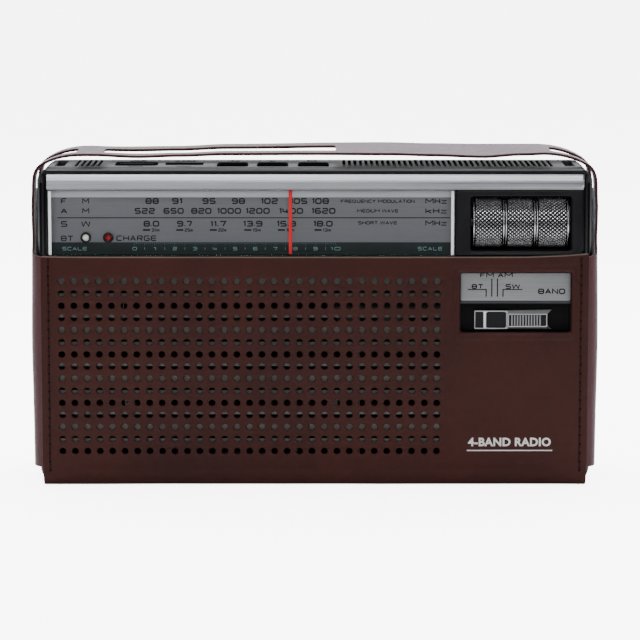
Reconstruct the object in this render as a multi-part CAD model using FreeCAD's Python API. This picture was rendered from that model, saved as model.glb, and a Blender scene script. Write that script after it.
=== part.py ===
"""Portable four-band shortwave receiver in a stitched leather carrying case.

The receiver is a black two-shell plastic cabinet. Its upper front carries a clear dial window with a red
pointer, a chrome trim bar and three knurled thumbwheels; its lower front carries the speaker grille and the
band switch, seen through the perforated leather. The leather case is two pieces: a wrap (front, bottom and
back in one) and a band (both side gussets and the slotted carrying strap in one).

Frame: millimetres, X to the right, Y to the back, Z up. The origin is the centre of the base, on the surface
that the case stands on. The front faces -Y.
"""
import FreeCAD, Part
import math
import os

V = FreeCAD.Vector

# ---- Driving dimensions -------------------------------------------------------------------------------
CASE_HALF_DEPTH = 30.0        # outer faces of the leather wrap, front and back
WRAP_LEATHER = 1.4            # thickness of the wrap
BAND_LEATHER = 1.2            # thickness of the gusset and strap band
BAND_HALF_WIDTH = 120.3       # outer face of the gussets
STRAP_TOP = 143.0             # outer face of the strap where it runs level
STRAP_HALF_DEPTH = 21.0
WRAP_HALF_WIDTH = 116.7
WRAP_FRONT_TOP = 99.0         # the wrap's front ends under the dial
WRAP_BACK_TOP = 126.5         # its back ends under the aerial

CABINET_HALF_WIDTH = 118.3
CABINET_BOTTOM = 1.6
CABINET_TOP = 136.0
CABINET_BACK = 27.1
FRONT_LOW = -27.1             # front face behind the leather
FRONT_HIGH = -28.8            # front face above the leather
STEP_Z = 99.3                 # height where one face becomes the other
WALL = 2.2
PARTING = 2.0                 # plane between the front and rear shells
CEILING = 132.0               # inside of the cabinet's top wall
FLOOR = CABINET_BOTTOM + WALL

HOLE_COLUMNS, HOLE_ROWS = 31, 15
HOLE_PITCH_X, HOLE_PITCH_Z = 5.34, 5.24
HOLE_RADIUS = 1.4
HOLE_FIRST_X, HOLE_FIRST_Z = -108.0, 15.1

BAND_WINDOW = (61.9, 109.4, 66.4, 92.1)        # x0, x1, z0, z1 of the opening over the band switch
DOOR_WINDOW = (39.8, 105.2, 6.8, 73.2)         # opening in the back leather over the battery door
SOCKET_WINDOW = (-106.5, -83.5, 56.5, 93.0)    # opening in the back leather over the sockets

DIAL = (-113.4, 59.4, 99.3, 127.1)             # outside of the clear dial window
LENS_FACE = -29.0
POINTER_X = -10.35                             # where the pointer stands at rest
POINTER_PLANE = -26.25

WHEEL_RADIUS = 10.8
WHEEL_Y, WHEEL_Z = -18.2, 112.7                # the common axis of the three thumbwheels
WHEEL_SPANS = ((67.5, 80.7), (81.1, 93.9), (94.3, 107.9))
WHEEL_WELL = (66.2, 109.2, 101.4, 124.8)
SHAFT_RADIUS = 1.5
SLEEVE_RADIUS = 3.0
RUNNING = 0.08                                 # radial clearance of a running fit

CORD_RADIUS = 0.35
SPINDLE_RADIUS = 3.6                           # to the middle of the cord
CORD_PLANE = WHEEL_Y - SPINDLE_RADIUS
DRUM_X, DRUM_Z, DRUM_RADIUS = 34.0, 82.0, 25.0
LANE = 0.4                                     # the cord's turns lie this far each side of a groove's middle
PULLEY_RADIUS = 2.4
SPINDLE_X = 112.4
PULLEYS = {
    "pulley_upper_right": (SPINDLE_X + LANE - PULLEY_RADIUS, 127.0),
    "pulley_upper_left": (-108.0, 127.0),
    "pulley_lower_right": (SPINDLE_X - LANE - PULLEY_RADIUS, 95.4),
}
PULLEY_PIN_RADIUS = 1.0

SPEAKER_X, SPEAKER_Z, SPEAKER_RADIUS = -36.0, 51.0, 44.0

CELL_RADIUS, CELL_LENGTH = 16.3, 61.0
CELL_Y = 8.7
CELL_LOW_Z, CELL_HIGH_Z = 22.2, 55.4
BATTERY_BOX = (39.3, 105.7, 5.6, 72.2)         # inside of the battery tray
TRAY_WALL, TRAY_FRONT = 1.6, -8.0
DOOR = (41.3, 103.7, 8.5, 71.2)
DOOR_THICKNESS = 1.8
HINGE_Y = CABINET_BACK - DOOR_THICKNESS / 2

DECK_BOTTOM = 134.2
DECK = (-113.2, 113.2, -17.6, 19.2)            # x0, x1, y0, y1 of the top plate
KEY_CENTRES = {"key_previous": -35.5, "key_play": -18.2, "key_next": -0.6}
KEY_Y, KEY_LENGTH, KEY_DEPTH, KEY_TRAVEL = -6.0, 13.0, 12.0, 0.8
PLUNGER_TOP = 129.3
USB_X, CARD_X, PORT_Y = -77.0, -56.4, 1.0

AERIAL_Y, AERIAL_Z, AERIAL_PIVOT_X = 24.8, 132.3, 106.0
AERIAL_TUBES = 5
AERIAL_OUTER, AERIAL_STEP, AERIAL_WALL = 2.9, 0.45, 0.38
AERIAL_ROOT_X, AERIAL_TUBE_LENGTH, AERIAL_PROUD = 101.0, 165.0, 3.5
RABBET_Y, RABBET_Z = 21.0, 128.6               # the step along the rear top edge that the aerial lies in
BOARD_POSTS = ((12.0, 104.0), (12.0, 82.0), (104.0, 96.0))
AUDIO_POSTS = ((-88.0, 15.4), (8.0, 15.4))

JACK_X, JACK_Z, JACK_RADIUS, JACK_DEPTH = -95.0, 86.0, 1.8, 12.0
INLET = (-105.0, -85.0, 59.0, 73.0)


# ---- Small geometry helpers ---------------------------------------------------------------------------
def box(x0, x1, y0, y1, z0, z1):
    return Part.makeBox(x1 - x0, y1 - y0, z1 - z0, V(x0, y0, z0))


def place(plane, u, v, w):
    """A point at u, v in a plane that stands w along its normal."""
    return {"xy": V(u, v, w), "xz": V(u, w, v), "yz": V(w, u, v)}[plane]


def wire(plane, corners, w):
    """A closed outline. Each corner is (u, v) or (u, v, radius)."""
    points = [(V(c[0], c[1], 0), c[2] if len(c) > 2 else 0) for c in corners]
    runs = []
    for i, (p, radius) in enumerate(points):
        if not radius:
            runs.append((p, None, p))
            continue
        back = (points[i - 1][0] - p).normalize()
        on = (points[(i + 1) % len(points)][0] - p).normalize()
        half = back.getAngle(on) / 2
        bisector = (back + on).normalize()
        reach = radius / math.tan(half)
        middle = p + bisector * (radius / math.sin(half) - radius)
        runs.append((p + back * reach, middle, p + on * reach))
    edges = []
    for i, (start, middle, end) in enumerate(runs):
        if middle:
            arc = [place(plane, q.x, q.y, w) for q in (start, middle, end)]
            edges.append(Part.Arc(*arc).toShape())
        following = runs[(i + 1) % len(runs)][0]
        if (following - end).Length > 1e-6:
            edges.append(Part.makeLine(place(plane, end.x, end.y, w), place(plane, following.x, following.y, w)))
    return Part.Wire(edges)


def circle(plane, u, v, radius, w):
    axis = {"xy": V(0, 0, 1), "xz": V(0, 1, 0), "yz": V(1, 0, 0)}[plane]
    return Part.Wire([Part.makeCircle(radius, place(plane, u, v, w), axis)])


def slab(plane, start, end, outline, holes=()):
    """The outline, less its holes, from start to end along the plane's normal. Both are functions of w."""
    face = Part.makeFace([outline(start)] + [h(start) for h in holes], "Part::FaceMakerBullseye")
    return face.extrude(place(plane, 0, 0, end - start))


def shape(plane, *corners):
    return lambda w: wire(plane, corners, w)


def hole(plane, u, v, radius):
    return lambda w: circle(plane, u, v, radius, w)


def rectangle(plane, u0, u1, v0, v1, radius=0):
    return shape(plane, *[(u, v, radius) for u, v in ((u0, v0), (u1, v0), (u1, v1), (u0, v1))])


def rod(axis, start, end, u, v, radius):
    """A cylinder from start to end along an axis. u and v are its other two coordinates, in X, Y, Z order."""
    plane = {"x": "yz", "y": "xz", "z": "xy"}[axis]
    along = {"x": V(1, 0, 0), "y": V(0, 1, 0), "z": V(0, 0, 1)}[axis]
    return Part.makeCylinder(radius, end - start, place(plane, u, v, start), along)


def pipe(axis, start, end, u, v, outer, inner):
    return rod(axis, start, end, u, v, outer).cut(rod(axis, start, end, u, v, inner))


def turned(axis, u, v, corners):
    """A solid of revolution. Corners are (distance along the axis, radius)."""
    along = {"x": V(1, 0, 0), "y": V(0, 1, 0), "z": V(0, 0, 1)}[axis]
    out = {"x": V(0, 0, 1), "y": V(0, 0, 1), "z": V(1, 0, 0)}[axis]
    plane = {"x": "yz", "y": "xz", "z": "xy"}[axis]
    centre = place(plane, u, v, 0)
    points = [centre + along * a + out * r for a, r in corners]
    return Part.Face(Part.makePolygon(points + points[:1])).revolve(centre, along, 360)


def joined(solids):
    first, *rest = solids
    return first.multiFuse(rest) if rest else first


def less(solid, *cutters):
    return solid.cut(Part.Compound(list(cutters)))


def save(name, solid):
    solid.exportStep(f"parts/{name}.step")
    good = solid.isValid() and all(s.Volume > 0 for s in solid.Solids)
    print(f"{name:22s} solids {len(solid.Solids):3d}  volume {solid.Volume:10.1f}  {'ok' if good else 'INVALID'}")


# ---- Leather case -------------------------------------------------------------------------------------
def leather_wrap():
    """Front, bottom and back in one piece: the front is perforated and has the band window."""
    outer, inner = CASE_HALF_DEPTH, CASE_HALF_DEPTH - WRAP_LEATHER
    bend = 4.0
    flat_from = 9.0
    section = shape(
        "yz",
        (-outer, 0, bend), (outer, 0, bend), (outer, flat_from), (inner, flat_from),
        (inner, WRAP_LEATHER, bend - WRAP_LEATHER), (-inner, WRAP_LEATHER, bend - WRAP_LEATHER),
        (-inner, flat_from), (-outer, flat_from),
    )
    wide, narrow = WRAP_HALF_WIDTH, WRAP_HALF_WIDTH - 2.2
    bottom = slab("yz", -wide, wide, section)
    for side in (-1, 1):
        wedge = shape("xz", (side * wide, flat_from), (side * narrow, 3.0), (side * narrow, -1), (side * 125, -1),
                      (side * 125, flat_from))
        bottom = bottom.cut(slab("xz", -outer - 1, outer + 1, wedge))
    perforations = [
        hole("xz", HOLE_FIRST_X + i * HOLE_PITCH_X, HOLE_FIRST_Z + j * HOLE_PITCH_Z, HOLE_RADIUS)
        for i in range(HOLE_COLUMNS) for j in range(HOLE_ROWS)
    ]
    front = slab("xz", -outer, -inner, rectangle("xz", -wide, wide, flat_from, WRAP_FRONT_TOP),
                 perforations + [rectangle("xz", *BAND_WINDOW, 1.5)])
    back_outline = shape("xz", (-wide, flat_from), (wide, flat_from), (wide, WRAP_BACK_TOP, 8),
                         (-wide, WRAP_BACK_TOP, 8))
    windows = [rectangle("xz", *SOCKET_WINDOW, 2)]
    back = slab("xz", inner, outer, back_outline, windows)
    wrap = joined([bottom, front, back])
    return wrap.cut(slab("xz", inner - 1, outer + 1, rectangle("xz", *DOOR_WINDOW, 2)))


def strap_outline(y):
    """The strap seen from the front: up each side, round two arcs at each corner and level over the top."""
    side_arc, top_arc, turn = 11.0, 33.0, math.radians(35)
    thick = BAND_LEATHER
    start_z = STRAP_TOP - top_arc * (1 - math.cos(turn)) - side_arc * math.cos(turn)
    foot = WRAP_FRONT_TOP - 4.0
    edges = []

    def corner(side, shrink):
        """The two arcs of one corner, as points from the side up to the top."""
        cx = BAND_HALF_WIDTH - side_arc
        r1, r2 = side_arc - shrink, top_arc - shrink
        bx = cx + side_arc * math.sin(turn) - top_arc * math.sin(turn)
        bz = start_z + side_arc * math.cos(turn) - top_arc * math.cos(turn)
        first = [(cx + r1 * math.cos(a), start_z + r1 * math.sin(a)) for a in
                 (0, (math.pi / 2 - turn) / 2, math.pi / 2 - turn)]
        second = [(bx + r2 * math.sin(a), bz + r2 * math.cos(a)) for a in (turn, turn / 2, 0)]
        return [[V(side * x, y, z) for x, z in arc] for arc in (first, second)]

    def half_loop(shrink):
        right, left = corner(1, shrink), corner(-1, shrink)
        x = BAND_HALF_WIDTH - shrink
        return [
            Part.makeLine(V(x, y, foot), right[0][0]),
            Part.Arc(*right[0]).toShape(), Part.Arc(*right[1]).toShape(),
            Part.makeLine(right[1][2], left[1][2]),
            Part.Arc(*reversed(left[1])).toShape(), Part.Arc(*reversed(left[0])).toShape(),
            Part.makeLine(left[0][0], V(-x, y, foot)),
        ]

    outside, inside = half_loop(0), half_loop(thick)
    edges += outside
    edges.append(Part.makeLine(V(-BAND_HALF_WIDTH, y, foot), V(-BAND_HALF_WIDTH + thick, y, foot)))
    edges += reversed(inside)
    edges.append(Part.makeLine(V(BAND_HALF_WIDTH - thick, y, foot), V(BAND_HALF_WIDTH, y, foot)))
    return Part.Wire(Part.__sortEdges__(edges))


def gusset_strap():
    """Both side gussets and the carrying strap: one band of leather with three slots over the top."""
    strap = slab("xz", -STRAP_HALF_DEPTH, STRAP_HALF_DEPTH, strap_outline)
    slots = [
        slab("xy", STRAP_TOP - 4, STRAP_TOP + 2, rectangle("xy", -89.9, 9.0, -11.5, 8.0, 3)),
        slab("xy", 125.5, STRAP_TOP + 2, rectangle("xy", 101.5, 135.0, -11.5, 8.0, 3)),
        slab("xy", 125.5, STRAP_TOP + 2, rectangle("xy", -135.0, -102.6, -11.5, 8.0, 3)),
    ]
    gussets = []
    x, t, face = BAND_HALF_WIDTH, BAND_LEATHER, CASE_HALF_DEPTH - WRAP_LEATHER - 0.1
    bend, flange_x = 6.0, 110.0
    for side in (-1, 1):
        plan = shape(
            "xy",
            (side * flange_x, -face), (side * x, -face, bend), (side * x, face, bend), (side * flange_x, face),
            (side * flange_x, face - t), (side * (x - t), face - t, bend - t),
            (side * (x - t), t - face, bend - t), (side * flange_x, t - face),
        )
        gusset = slab("xy", 9.5, 130.0, plan)
        shoulder = 7.5
        front_trim = shape("yz", (-35, WRAP_FRONT_TOP), (-STRAP_HALF_DEPTH, WRAP_FRONT_TOP, shoulder),
                           (-STRAP_HALF_DEPTH, 135), (-35, 135))
        back_trim = shape("yz", (35, 122.0), (STRAP_HALF_DEPTH, 122.0, shoulder), (STRAP_HALF_DEPTH, 135), (35, 135))
        middle_trim = box(side * x - 30, side * x + 30, -STRAP_HALF_DEPTH, STRAP_HALF_DEPTH, 128.0, 136)
        trims = [slab("yz", side * x - 20, side * x + 20, trim) for trim in (front_trim, back_trim)]
        gussets.append(less(gusset, middle_trim, *trims))
    return less(joined([strap] + gussets).removeSplitter(), *slots)


# ---- Cabinet shells -----------------------------------------------------------------------------------
def cabinet_block(inset, back):
    """The cabinet's outer form, or with an inset its inside: rounded in plan, in elevation and underneath."""
    half = CABINET_HALF_WIDTH - inset
    corner = 6.0 - min(inset, 2.0)
    z0, z1 = (FLOOR, CEILING) if inset else (CABINET_BOTTOM, CABINET_TOP)
    step = STEP_Z + (1.5 if inset else 0)
    low_face, high_face = FRONT_LOW + inset, FRONT_HIGH + inset

    def plan(front):
        return rectangle("xy", -half, half, front, back, corner)

    low = slab("xy", z0, step, plan(low_face))
    high = slab("xy", step, z1, plan(high_face))
    elevation = slab("xz", -40, 40, rectangle("xz", -half, half, z0, z1, 6.0 - min(inset, 2.0)))
    side = slab("yz", -130, 130, shape("yz", (low_face, z0, 1.6), (back, z0, 1.6), (back, z1), (high_face, z1, 1.0),
                                       (high_face, step), (low_face, step)))
    return low.fuse(high).common(elevation).common(side)


def screw_places():
    return [(-112.3, 8.6), (112.3, 8.6), (-112.3, 88.0), (112.3, 88.0), (24.0, 8.6)]


def front_cabinet():
    """Front shell: dial opening, thumbwheel well, grille opening and band switch channel."""
    outer = cabinet_block(0, CABINET_BACK).common(box(-130, 130, -40, PARTING, 0, 150))
    shell = outer.cut(cabinet_block(WALL, CABINET_BACK))
    x0, x1, z0, z1 = BAND_WINDOW
    pad = box(x0 - 1, x1 - 0.2, FRONT_LOW + WALL, FRONT_LOW + WALL + 2.2, z0 - 1, 80.0)
    pins = []
    back = CORD_PLANE + 1.8
    for name, (x, z) in PULLEYS.items():
        hung = name.startswith("pulley_upper")
        pins.append(rod("y", CORD_PLANE - 1.7 if hung else FRONT_LOW + 1.0, back, x, z, PULLEY_PIN_RADIUS))
        if hung:
            pins.append(box(x - 2.6, x + 2.6, back, back + 1.8, z - 1.4, CEILING + 0.5))
    bosses = [pipe("y", FRONT_LOW + 1.0, PARTING, x, z, 2.8, 1.1) for x, z in screw_places()]
    shell = joined([shell, pad] + pins + bosses)
    grille = slab("xz", -40, -10, rectangle("xz", -111.7, 55.7, 10.3, 93.7, 2))
    dial = slab("xz", -40, -24.0, rectangle("xz", DIAL[0] - 0.2, DIAL[1] + 0.2, DIAL[2] - 0.2, DIAL[3] + 0.2))
    well = slab("xz", -40, FRONT_HIGH + WALL, rectangle("xz", *WHEEL_WELL, 1.5))
    channel = slab("xz", -40, -24.6, rectangle("xz", 62.5, 109.0, 66.7, 78.6, 1))
    stem_slot = slab("xz", -40, -20, rectangle("xz", 82.6, 94.6, 70.8, 73.6, 1))
    deck = box(DECK[0] - 0.2, DECK[1] + 0.2, DECK[2] - 0.2, 40, DECK_BOTTOM, 140)
    access = box(-92, 12, -13, 40, 130, 140)
    return less(shell, grille, dial, well, channel, stem_slot, deck, access)


def rear_cabinet():
    """Rear shell: doorway, aerial step and swivel pocket, socket openings, posts and bosses."""
    keep = box(-130, 130, PARTING, 40, 0, 150)
    outer = cabinet_block(0, CABINET_BACK).common(keep)
    step = box(-130, 130, RABBET_Y, 40, RABBET_Z, 150)
    inner = cabinet_block(WALL, CABINET_BACK - WALL)
    inner = less(inner, box(-130, 130, RABBET_Y - 1.8, 40, RABBET_Z - 1.8, 150),
                 rod("z", 118.5, 150, AERIAL_PIVOT_X, AERIAL_Y, 5.2))
    shell = less(outer, inner, step)
    bosses = [rod("y", PARTING, CABINET_BACK - 1, x, z, 2.8) for x, z in screw_places()]
    posts = [rod("y", -9.8, CABINET_BACK - 1, x, z, 2.5) for x, z in BOARD_POSTS]
    posts += [rod("z", 124.8, CEILING + 1, x, y, 2.2) for x, y in AUDIO_POSTS]
    shell = joined([shell] + bosses + posts)
    doorway = box(41.0, 104.0, 20, 40, 7.2, 71.6)
    pins = rod("x", 39.6, 105.4, HINGE_Y, DOOR[2], 0.68)
    clearances = [rod("y", PARTING - 1, 40, x, z, 1.25) for x, z in screw_places()]
    recesses = [rod("y", 22.5, 40, x, z, 2.4) for x, z in screw_places()]
    swivel = rod("z", 121.9, 150, AERIAL_PIVOT_X, AERIAL_Y, 3.2 + RUNNING)
    inlet = box(INLET[0] - 0.1, INLET[1] + 0.1, 20, 40, INLET[2] - 0.1, INLET[3] + 0.1)
    jack = rod("y", 20, 40, JACK_X, JACK_Z, 4.1)
    deck = box(DECK[0] - 0.2, DECK[1] + 0.2, -40, DECK[3] + 0.2, DECK_BOTTOM, 140)
    access = box(-92, 12, -40, 13, 130, 140)
    return less(shell, doorway, pins, swivel, inlet, jack, deck, access, *clearances, *recesses)


def battery_tray():
    """Open box for the two cells, welded inside the back wall round the doorway."""
    x0, x1, z0, z1 = BATTERY_BOX
    wall = TRAY_WALL
    outer = box(x0 - wall, x1 + wall, TRAY_FRONT - wall, CABINET_BACK - WALL, z0 - wall, z1 + wall)
    outer = outer.common(cabinet_block(WALL, CABINET_BACK - WALL))
    return outer.cut(box(x0, x1, TRAY_FRONT, CABINET_BACK, z0, z1))


def cabinet_screws():
    """Five countersunk screws that join the shells from the back."""
    screws = []
    for x, z in screw_places():
        head = turned("y", x, z, [(22.55, 0), (22.55, 1.15), (23.6, 2.3), (24.6, 2.3), (24.6, 0)])
        shank = rod("y", -8.0, 22.6, x, z, 1.05)
        cross = [box(x - 1.5, x + 1.5, 23.8, 25, z - 0.3, z + 0.3), box(x - 0.3, x + 0.3, 23.8, 25, z - 1.5, z + 1.5)]
        screws.append(less(head.fuse(shank), *cross))
    return Part.Compound(screws)


def battery_door():
    """Door that swings down on two short pins, with a ribbed thumb pad at its top."""
    x0, x1, z0, z1 = DOOR
    y0 = CABINET_BACK - DOOR_THICKNESS
    plate = box(x0, x1, y0, CABINET_BACK, z0, z1)
    knuckle = rod("x", x0, x1, HINGE_Y, z0, DOOR_THICKNESS / 2)
    pins = rod("x", x0 - 1.4, x1 + 1.4, HINGE_Y, z0, 0.6)
    pad = slab("xz", CABINET_BACK - 0.2, CABINET_BACK + 0.4, rectangle("xz", 63, 82, 62, 69.5, 2))
    ridges = [box(66 + 2.6 * i, 67.2 + 2.6 * i, CABINET_BACK, CABINET_BACK + 0.9, 63.5, 68) for i in range(5)]
    ribs = [box(x0 + 5, x1 - 5, y0 - 0.15, y0 + 0.2, z, z + 1.0) for z in (20.0, 38.0)]
    return joined([plate, knuckle, pins, pad] + ridges + ribs)


# ---- Front furniture ----------------------------------------------------------------------------------
def speaker_grille():
    """Plate of level bars behind the perforated leather, tied by thin uprights at the back."""
    pitch, gap = 6.98, 3.5
    slot_x0, slot_x1 = -110.2, 54.2
    first = 13.16
    slots = [
        rectangle("xz", slot_x0, slot_x1, first + i * pitch, first + i * pitch + gap, 0.8) for i in range(11)
    ]
    plate = slab("xz", -27.0, -24.9, rectangle("xz", -111.5, 55.5, 10.5, 93.5, 1.8), slots)
    uprights = [box(x, x + 1.4, -25.7, -24.9, 12, 92) for x in (-90, -63, -36, -9, 18)]
    return joined([plate] + uprights)


def dial_lens():
    """Clear dial window with returned sides and foot, open at the top for the pointer."""
    x0, x1, z0, z1 = DIAL
    block = slab("xz", LENS_FACE, -24.9, rectangle("xz", x0, x1, z0, z1))
    return block.cut(box(x0 + 1.2, x1 - 1.2, LENS_FACE + 2.1, -24, z0 + 1.0, z1 + 1))


def lamp_places():
    return {"bluetooth_lamp": (-97.6, 106.7), "charge_lamp": (-88.0, 106.7)}


def dial_scale():
    """Printed scale plate behind the pointer, with a hole for each lamp."""
    x0, x1, z0, z1 = DIAL
    holes = [hole("xz", x, z, 1.62) for x, z in lamp_places().values()]
    return slab("xz", -24.9, -24.3, rectangle("xz", x0 + 0.1, x1 - 0.1, z0 + 0.1, z1 - 0.1), holes)


def lamp(x, z):
    """A 3 mm lamp with a domed tip and a flange."""
    return turned("y", x, z, [(-26.0, 0), (-25.9, 0.7), (-25.4, 1.3), (-24.8, 1.5), (-22.0, 1.5), (-22.0, 1.9),
                              (-21.0, 1.9), (-21.0, 0)])


def lamp_bezels():
    return Part.Compound([pipe("y", -25.6, -24.9, x, z, 2.25, 1.55) for x, z in lamp_places().values()])


def trim_bar():
    """Chrome bar above the dial: crowned upper half, flat lower half and an undercut foot."""
    section = shape("yz", (FRONT_HIGH, 127.5), (-29.3, 127.5), (-29.9, 128.6), (-30.0, 131.2), (-29.95, 132.2),
                    (-29.5, 133.8, 0.6), (FRONT_HIGH, 134.2))
    bar = slab("yz", -113.7, 114.3, section)
    ends = slab("xz", -31, -28, rectangle("xz", -113.7, 114.3, 127.5, 134.2, 1.2))
    return bar.common(ends)


def band_plate():
    """Bright label plate above the band switch."""
    return slab("xz", -27.6, -27.1, rectangle("xz", 62.2, 109.1, 79.9, 91.8, 0.5))


def band_knob():
    """Slide knob: two sunk panels with an index bar between them, and a ribbed grip."""
    x0, x1, z0, z1 = 68.1, 101.2, 67.2, 75.8
    tail = shape("xz", (x0, z0, 0.4), (x1, z0), (x1 - 1.6, z0 + 1.6), (x1 - 1.6, z1 - 1.6), (x1, z1), (x0, z1, 0.4))
    base = slab("xz", -26.6, -24.9, tail)
    panels = [
        slab("xz", -27, -26.0, rectangle("xz", 68.8, 72.0, 68.0, 74.6)),
        slab("xz", -27, -26.0, rectangle("xz", 73.4, 81.2, 68.0, 74.6)),
    ]
    grip = slab("xz", -27.3, -25.5, rectangle("xz", 82.6, 99.2, 68.6, 74.0, 0.4))
    ribs = [box(84.0 + 1.2 * i, 84.7 + 1.2 * i, -28.1, -27.2, 68.9, 73.7) for i in range(11)]
    stem = slab("xz", -25.2, -19.8, rectangle("xz", 83.0, 87.0, 71.1, 73.3, 0.5))
    return less(base, *panels).multiFuse([grip, stem] + ribs)


def band_switch():
    """Slide switch behind the band knob, open at the front for the knob's stem."""
    body = box(70.0, 105.5, -22.4, -13.0, 66.8, 77.6)
    slot = box(82.4, 94.8, -23, -18.8, 70.5, 73.9)
    tags = [box(74 + 5.0 * i, 74.8 + 5.0 * i, -13.0, -11.4, z, z + 1.2) for i in range(6) for z in (68.5, 74.5)]
    return joined([body.cut(slot)] + tags)


# ---- Thumbwheels and tuning drive ---------------------------------------------------------------------
def knurled_drum(x0, x1):
    """A thumbwheel's rim: smooth flanges, and flutes between them."""
    flutes, flange = 40, 1.3
    ring = []
    for i in range(flutes):
        for share, radius in ((0.0, WHEEL_RADIUS - 0.1), (0.5, WHEEL_RADIUS - 0.8)):
            angle = 2 * math.pi * (i + share) / flutes
            ring.append((WHEEL_Y + radius * math.cos(angle), WHEEL_Z + radius * math.sin(angle)))
    band = slab("yz", x0 + flange, x1 - flange, shape("yz", *ring))
    flanges = [rod("x", a, a + flange, WHEEL_Y, WHEEL_Z, WHEEL_RADIUS) for a in (x0, x1 - flange)]
    return joined([band] + flanges)


def volume_wheel():
    """Left thumbwheel, on a hollow sleeve that turns the outer track of the twin control."""
    x0, x1 = WHEEL_SPANS[0]
    sleeve = rod("x", 57.0, x0 + 1, WHEEL_Y, WHEEL_Z, SLEEVE_RADIUS)
    return less(knurled_drum(x0, x1).fuse(sleeve), rod("x", 50, x1 + 1, WHEEL_Y, WHEEL_Z, SHAFT_RADIUS + RUNNING))


def tone_wheel():
    """Middle thumbwheel: its shaft runs through the volume sleeve to the inner track."""
    x0, x1 = WHEEL_SPANS[1]
    shaft = rod("x", 50.0, x0 + 1, WHEEL_Y, WHEEL_Z, SHAFT_RADIUS)
    socket = rod("x", x1 - 5, x1 + 1, WHEEL_Y, WHEEL_Z, SHAFT_RADIUS + RUNNING)
    return knurled_drum(x0, x1).fuse(shaft).cut(socket)


def tuning_wheel():
    """Right thumbwheel, with the cord spindle on its outer end and a stub that runs in the middle wheel."""
    x0, x1 = WHEEL_SPANS[2]
    core = SPINDLE_RADIUS - CORD_RADIUS - 0.05
    stub = rod("x", WHEEL_SPANS[1][1] - 4, x0 + 1, WHEEL_Y, WHEEL_Z, SHAFT_RADIUS)
    shaft = rod("x", x1 - 1, 115.2, WHEEL_Y, WHEEL_Z, SHAFT_RADIUS)
    spindle = turned("x", WHEEL_Y, WHEEL_Z, [(110.4, 0), (110.4, 4.5), (111.2, 4.5), (111.6, core), (113.2, core),
                                             (113.6, 4.5), (114.4, 4.5), (114.4, 0)])
    return joined([knurled_drum(x0, x1), stub, shaft, spindle])


def twin_control():
    """Volume and tone potentiometers in one can, left of the wheels."""
    can = rod("x", 47.0, 64.6, WHEEL_Y, WHEEL_Z, 5.5)
    outer_bore = rod("x", 56.6, 65, WHEEL_Y, WHEEL_Z, SLEEVE_RADIUS + RUNNING)
    inner_bore = rod("x", 49.6, 57, WHEEL_Y, WHEEL_Z, SHAFT_RADIUS + RUNNING)
    tags = box(50, 61, WHEEL_Y + 5, -11.5, WHEEL_Z - 0.4, WHEEL_Z + 0.4)
    return less(can.fuse(tags), outer_bore, inner_bore)


def wheel_bracket():
    """Two cheeks that carry the wheels' bearings, on a back plate that hangs from the cabinet's top."""
    left = box(64.6, 66.2, -22.3, -5.2, 108.4, 119.8)
    right = box(108.5, 109.9, -22.3, -5.2, 108.4, 119.8)
    back = box(64.6, 109.9, -6.6, -5.2, 108.4, CEILING)
    holes = [
        rod("x", 64, 67, WHEEL_Y, WHEEL_Z, SLEEVE_RADIUS + RUNNING),
        rod("x", 108, 111, WHEEL_Y, WHEEL_Z, SHAFT_RADIUS + RUNNING),
    ]
    return less(joined([left, right, back]), *holes)


def grooved(x, z, radius, bore, floor_half, half_width, rim):
    """A cord wheel that turns on Y: its groove holds the cord at the given radius."""
    floor = radius - CORD_RADIUS - 0.06
    y = CORD_PLANE
    lip = floor_half + 0.3
    return turned("y", x, z, [
        (y - half_width, bore), (y - half_width, radius + rim), (y - lip, radius + rim), (y - floor_half, floor),
        (y + floor_half, floor), (y + lip, radius + rim), (y + half_width, radius + rim), (y + half_width, bore),
    ])


def cord_drum():
    """Large cord drum with lightening holes, in one piece with the shaft that turns the tuning capacitor."""
    drum = grooved(DRUM_X, DRUM_Z, DRUM_RADIUS, 0.0, 0.85, 1.6, 1.2)
    web = [
        rod("y", -40, 0, DRUM_X + 15 * math.cos(a), DRUM_Z + 15 * math.sin(a), 5.0)
        for a in (math.radians(45 + 90 * i) for i in range(4))
    ]
    shaft = rod("y", CORD_PLANE + 0.2, -12.0, DRUM_X, DRUM_Z, 2.6)
    return less(drum, *web).fuse(shaft)


def tuning_capacitor():
    """Variable capacitor that the cord drum turns."""
    body = box(DRUM_X - 10, DRUM_X + 10, -19.6, -11.4, DRUM_Z - 9, DRUM_Z + 11)
    return body.cut(rod("y", -30, -11.9, DRUM_X, DRUM_Z, 2.6 + RUNNING))


def tangent(c0, r0, c1, r1, crossed):
    """Ends of the straight run that leaves circle 0 on its upper side, moving right, for circle 1."""
    dx, dz = c1[0] - c0[0], c1[1] - c0[1]
    distance = math.hypot(dx, dz)
    lean = math.atan2(dz, dx)
    swing = math.acos((r0 + r1 if crossed else r0 - r1) / distance)
    a = lean + swing
    sign = -1 if crossed else 1
    return (
        (c0[0] + r0 * math.cos(a), c0[1] + r0 * math.sin(a)),
        (c1[0] + sign * r1 * math.cos(a), c1[1] + sign * r1 * math.sin(a)),
    )


def run(start, end, y_start=CORD_PLANE, y_end=CORD_PLANE):
    """A straight stretch of dial cord. Its ends are square to the X-Z plane, to meet a bend exactly."""
    a, b = V(start[0], y_start, start[1]), V(end[0], y_end, end[1])
    along = V(b.x - a.x, 0, b.z - a.z)
    return Part.makeLoft([Part.Wire([Part.makeCircle(CORD_RADIUS, p, along)]) for p in (a, b)], True, True)


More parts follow.
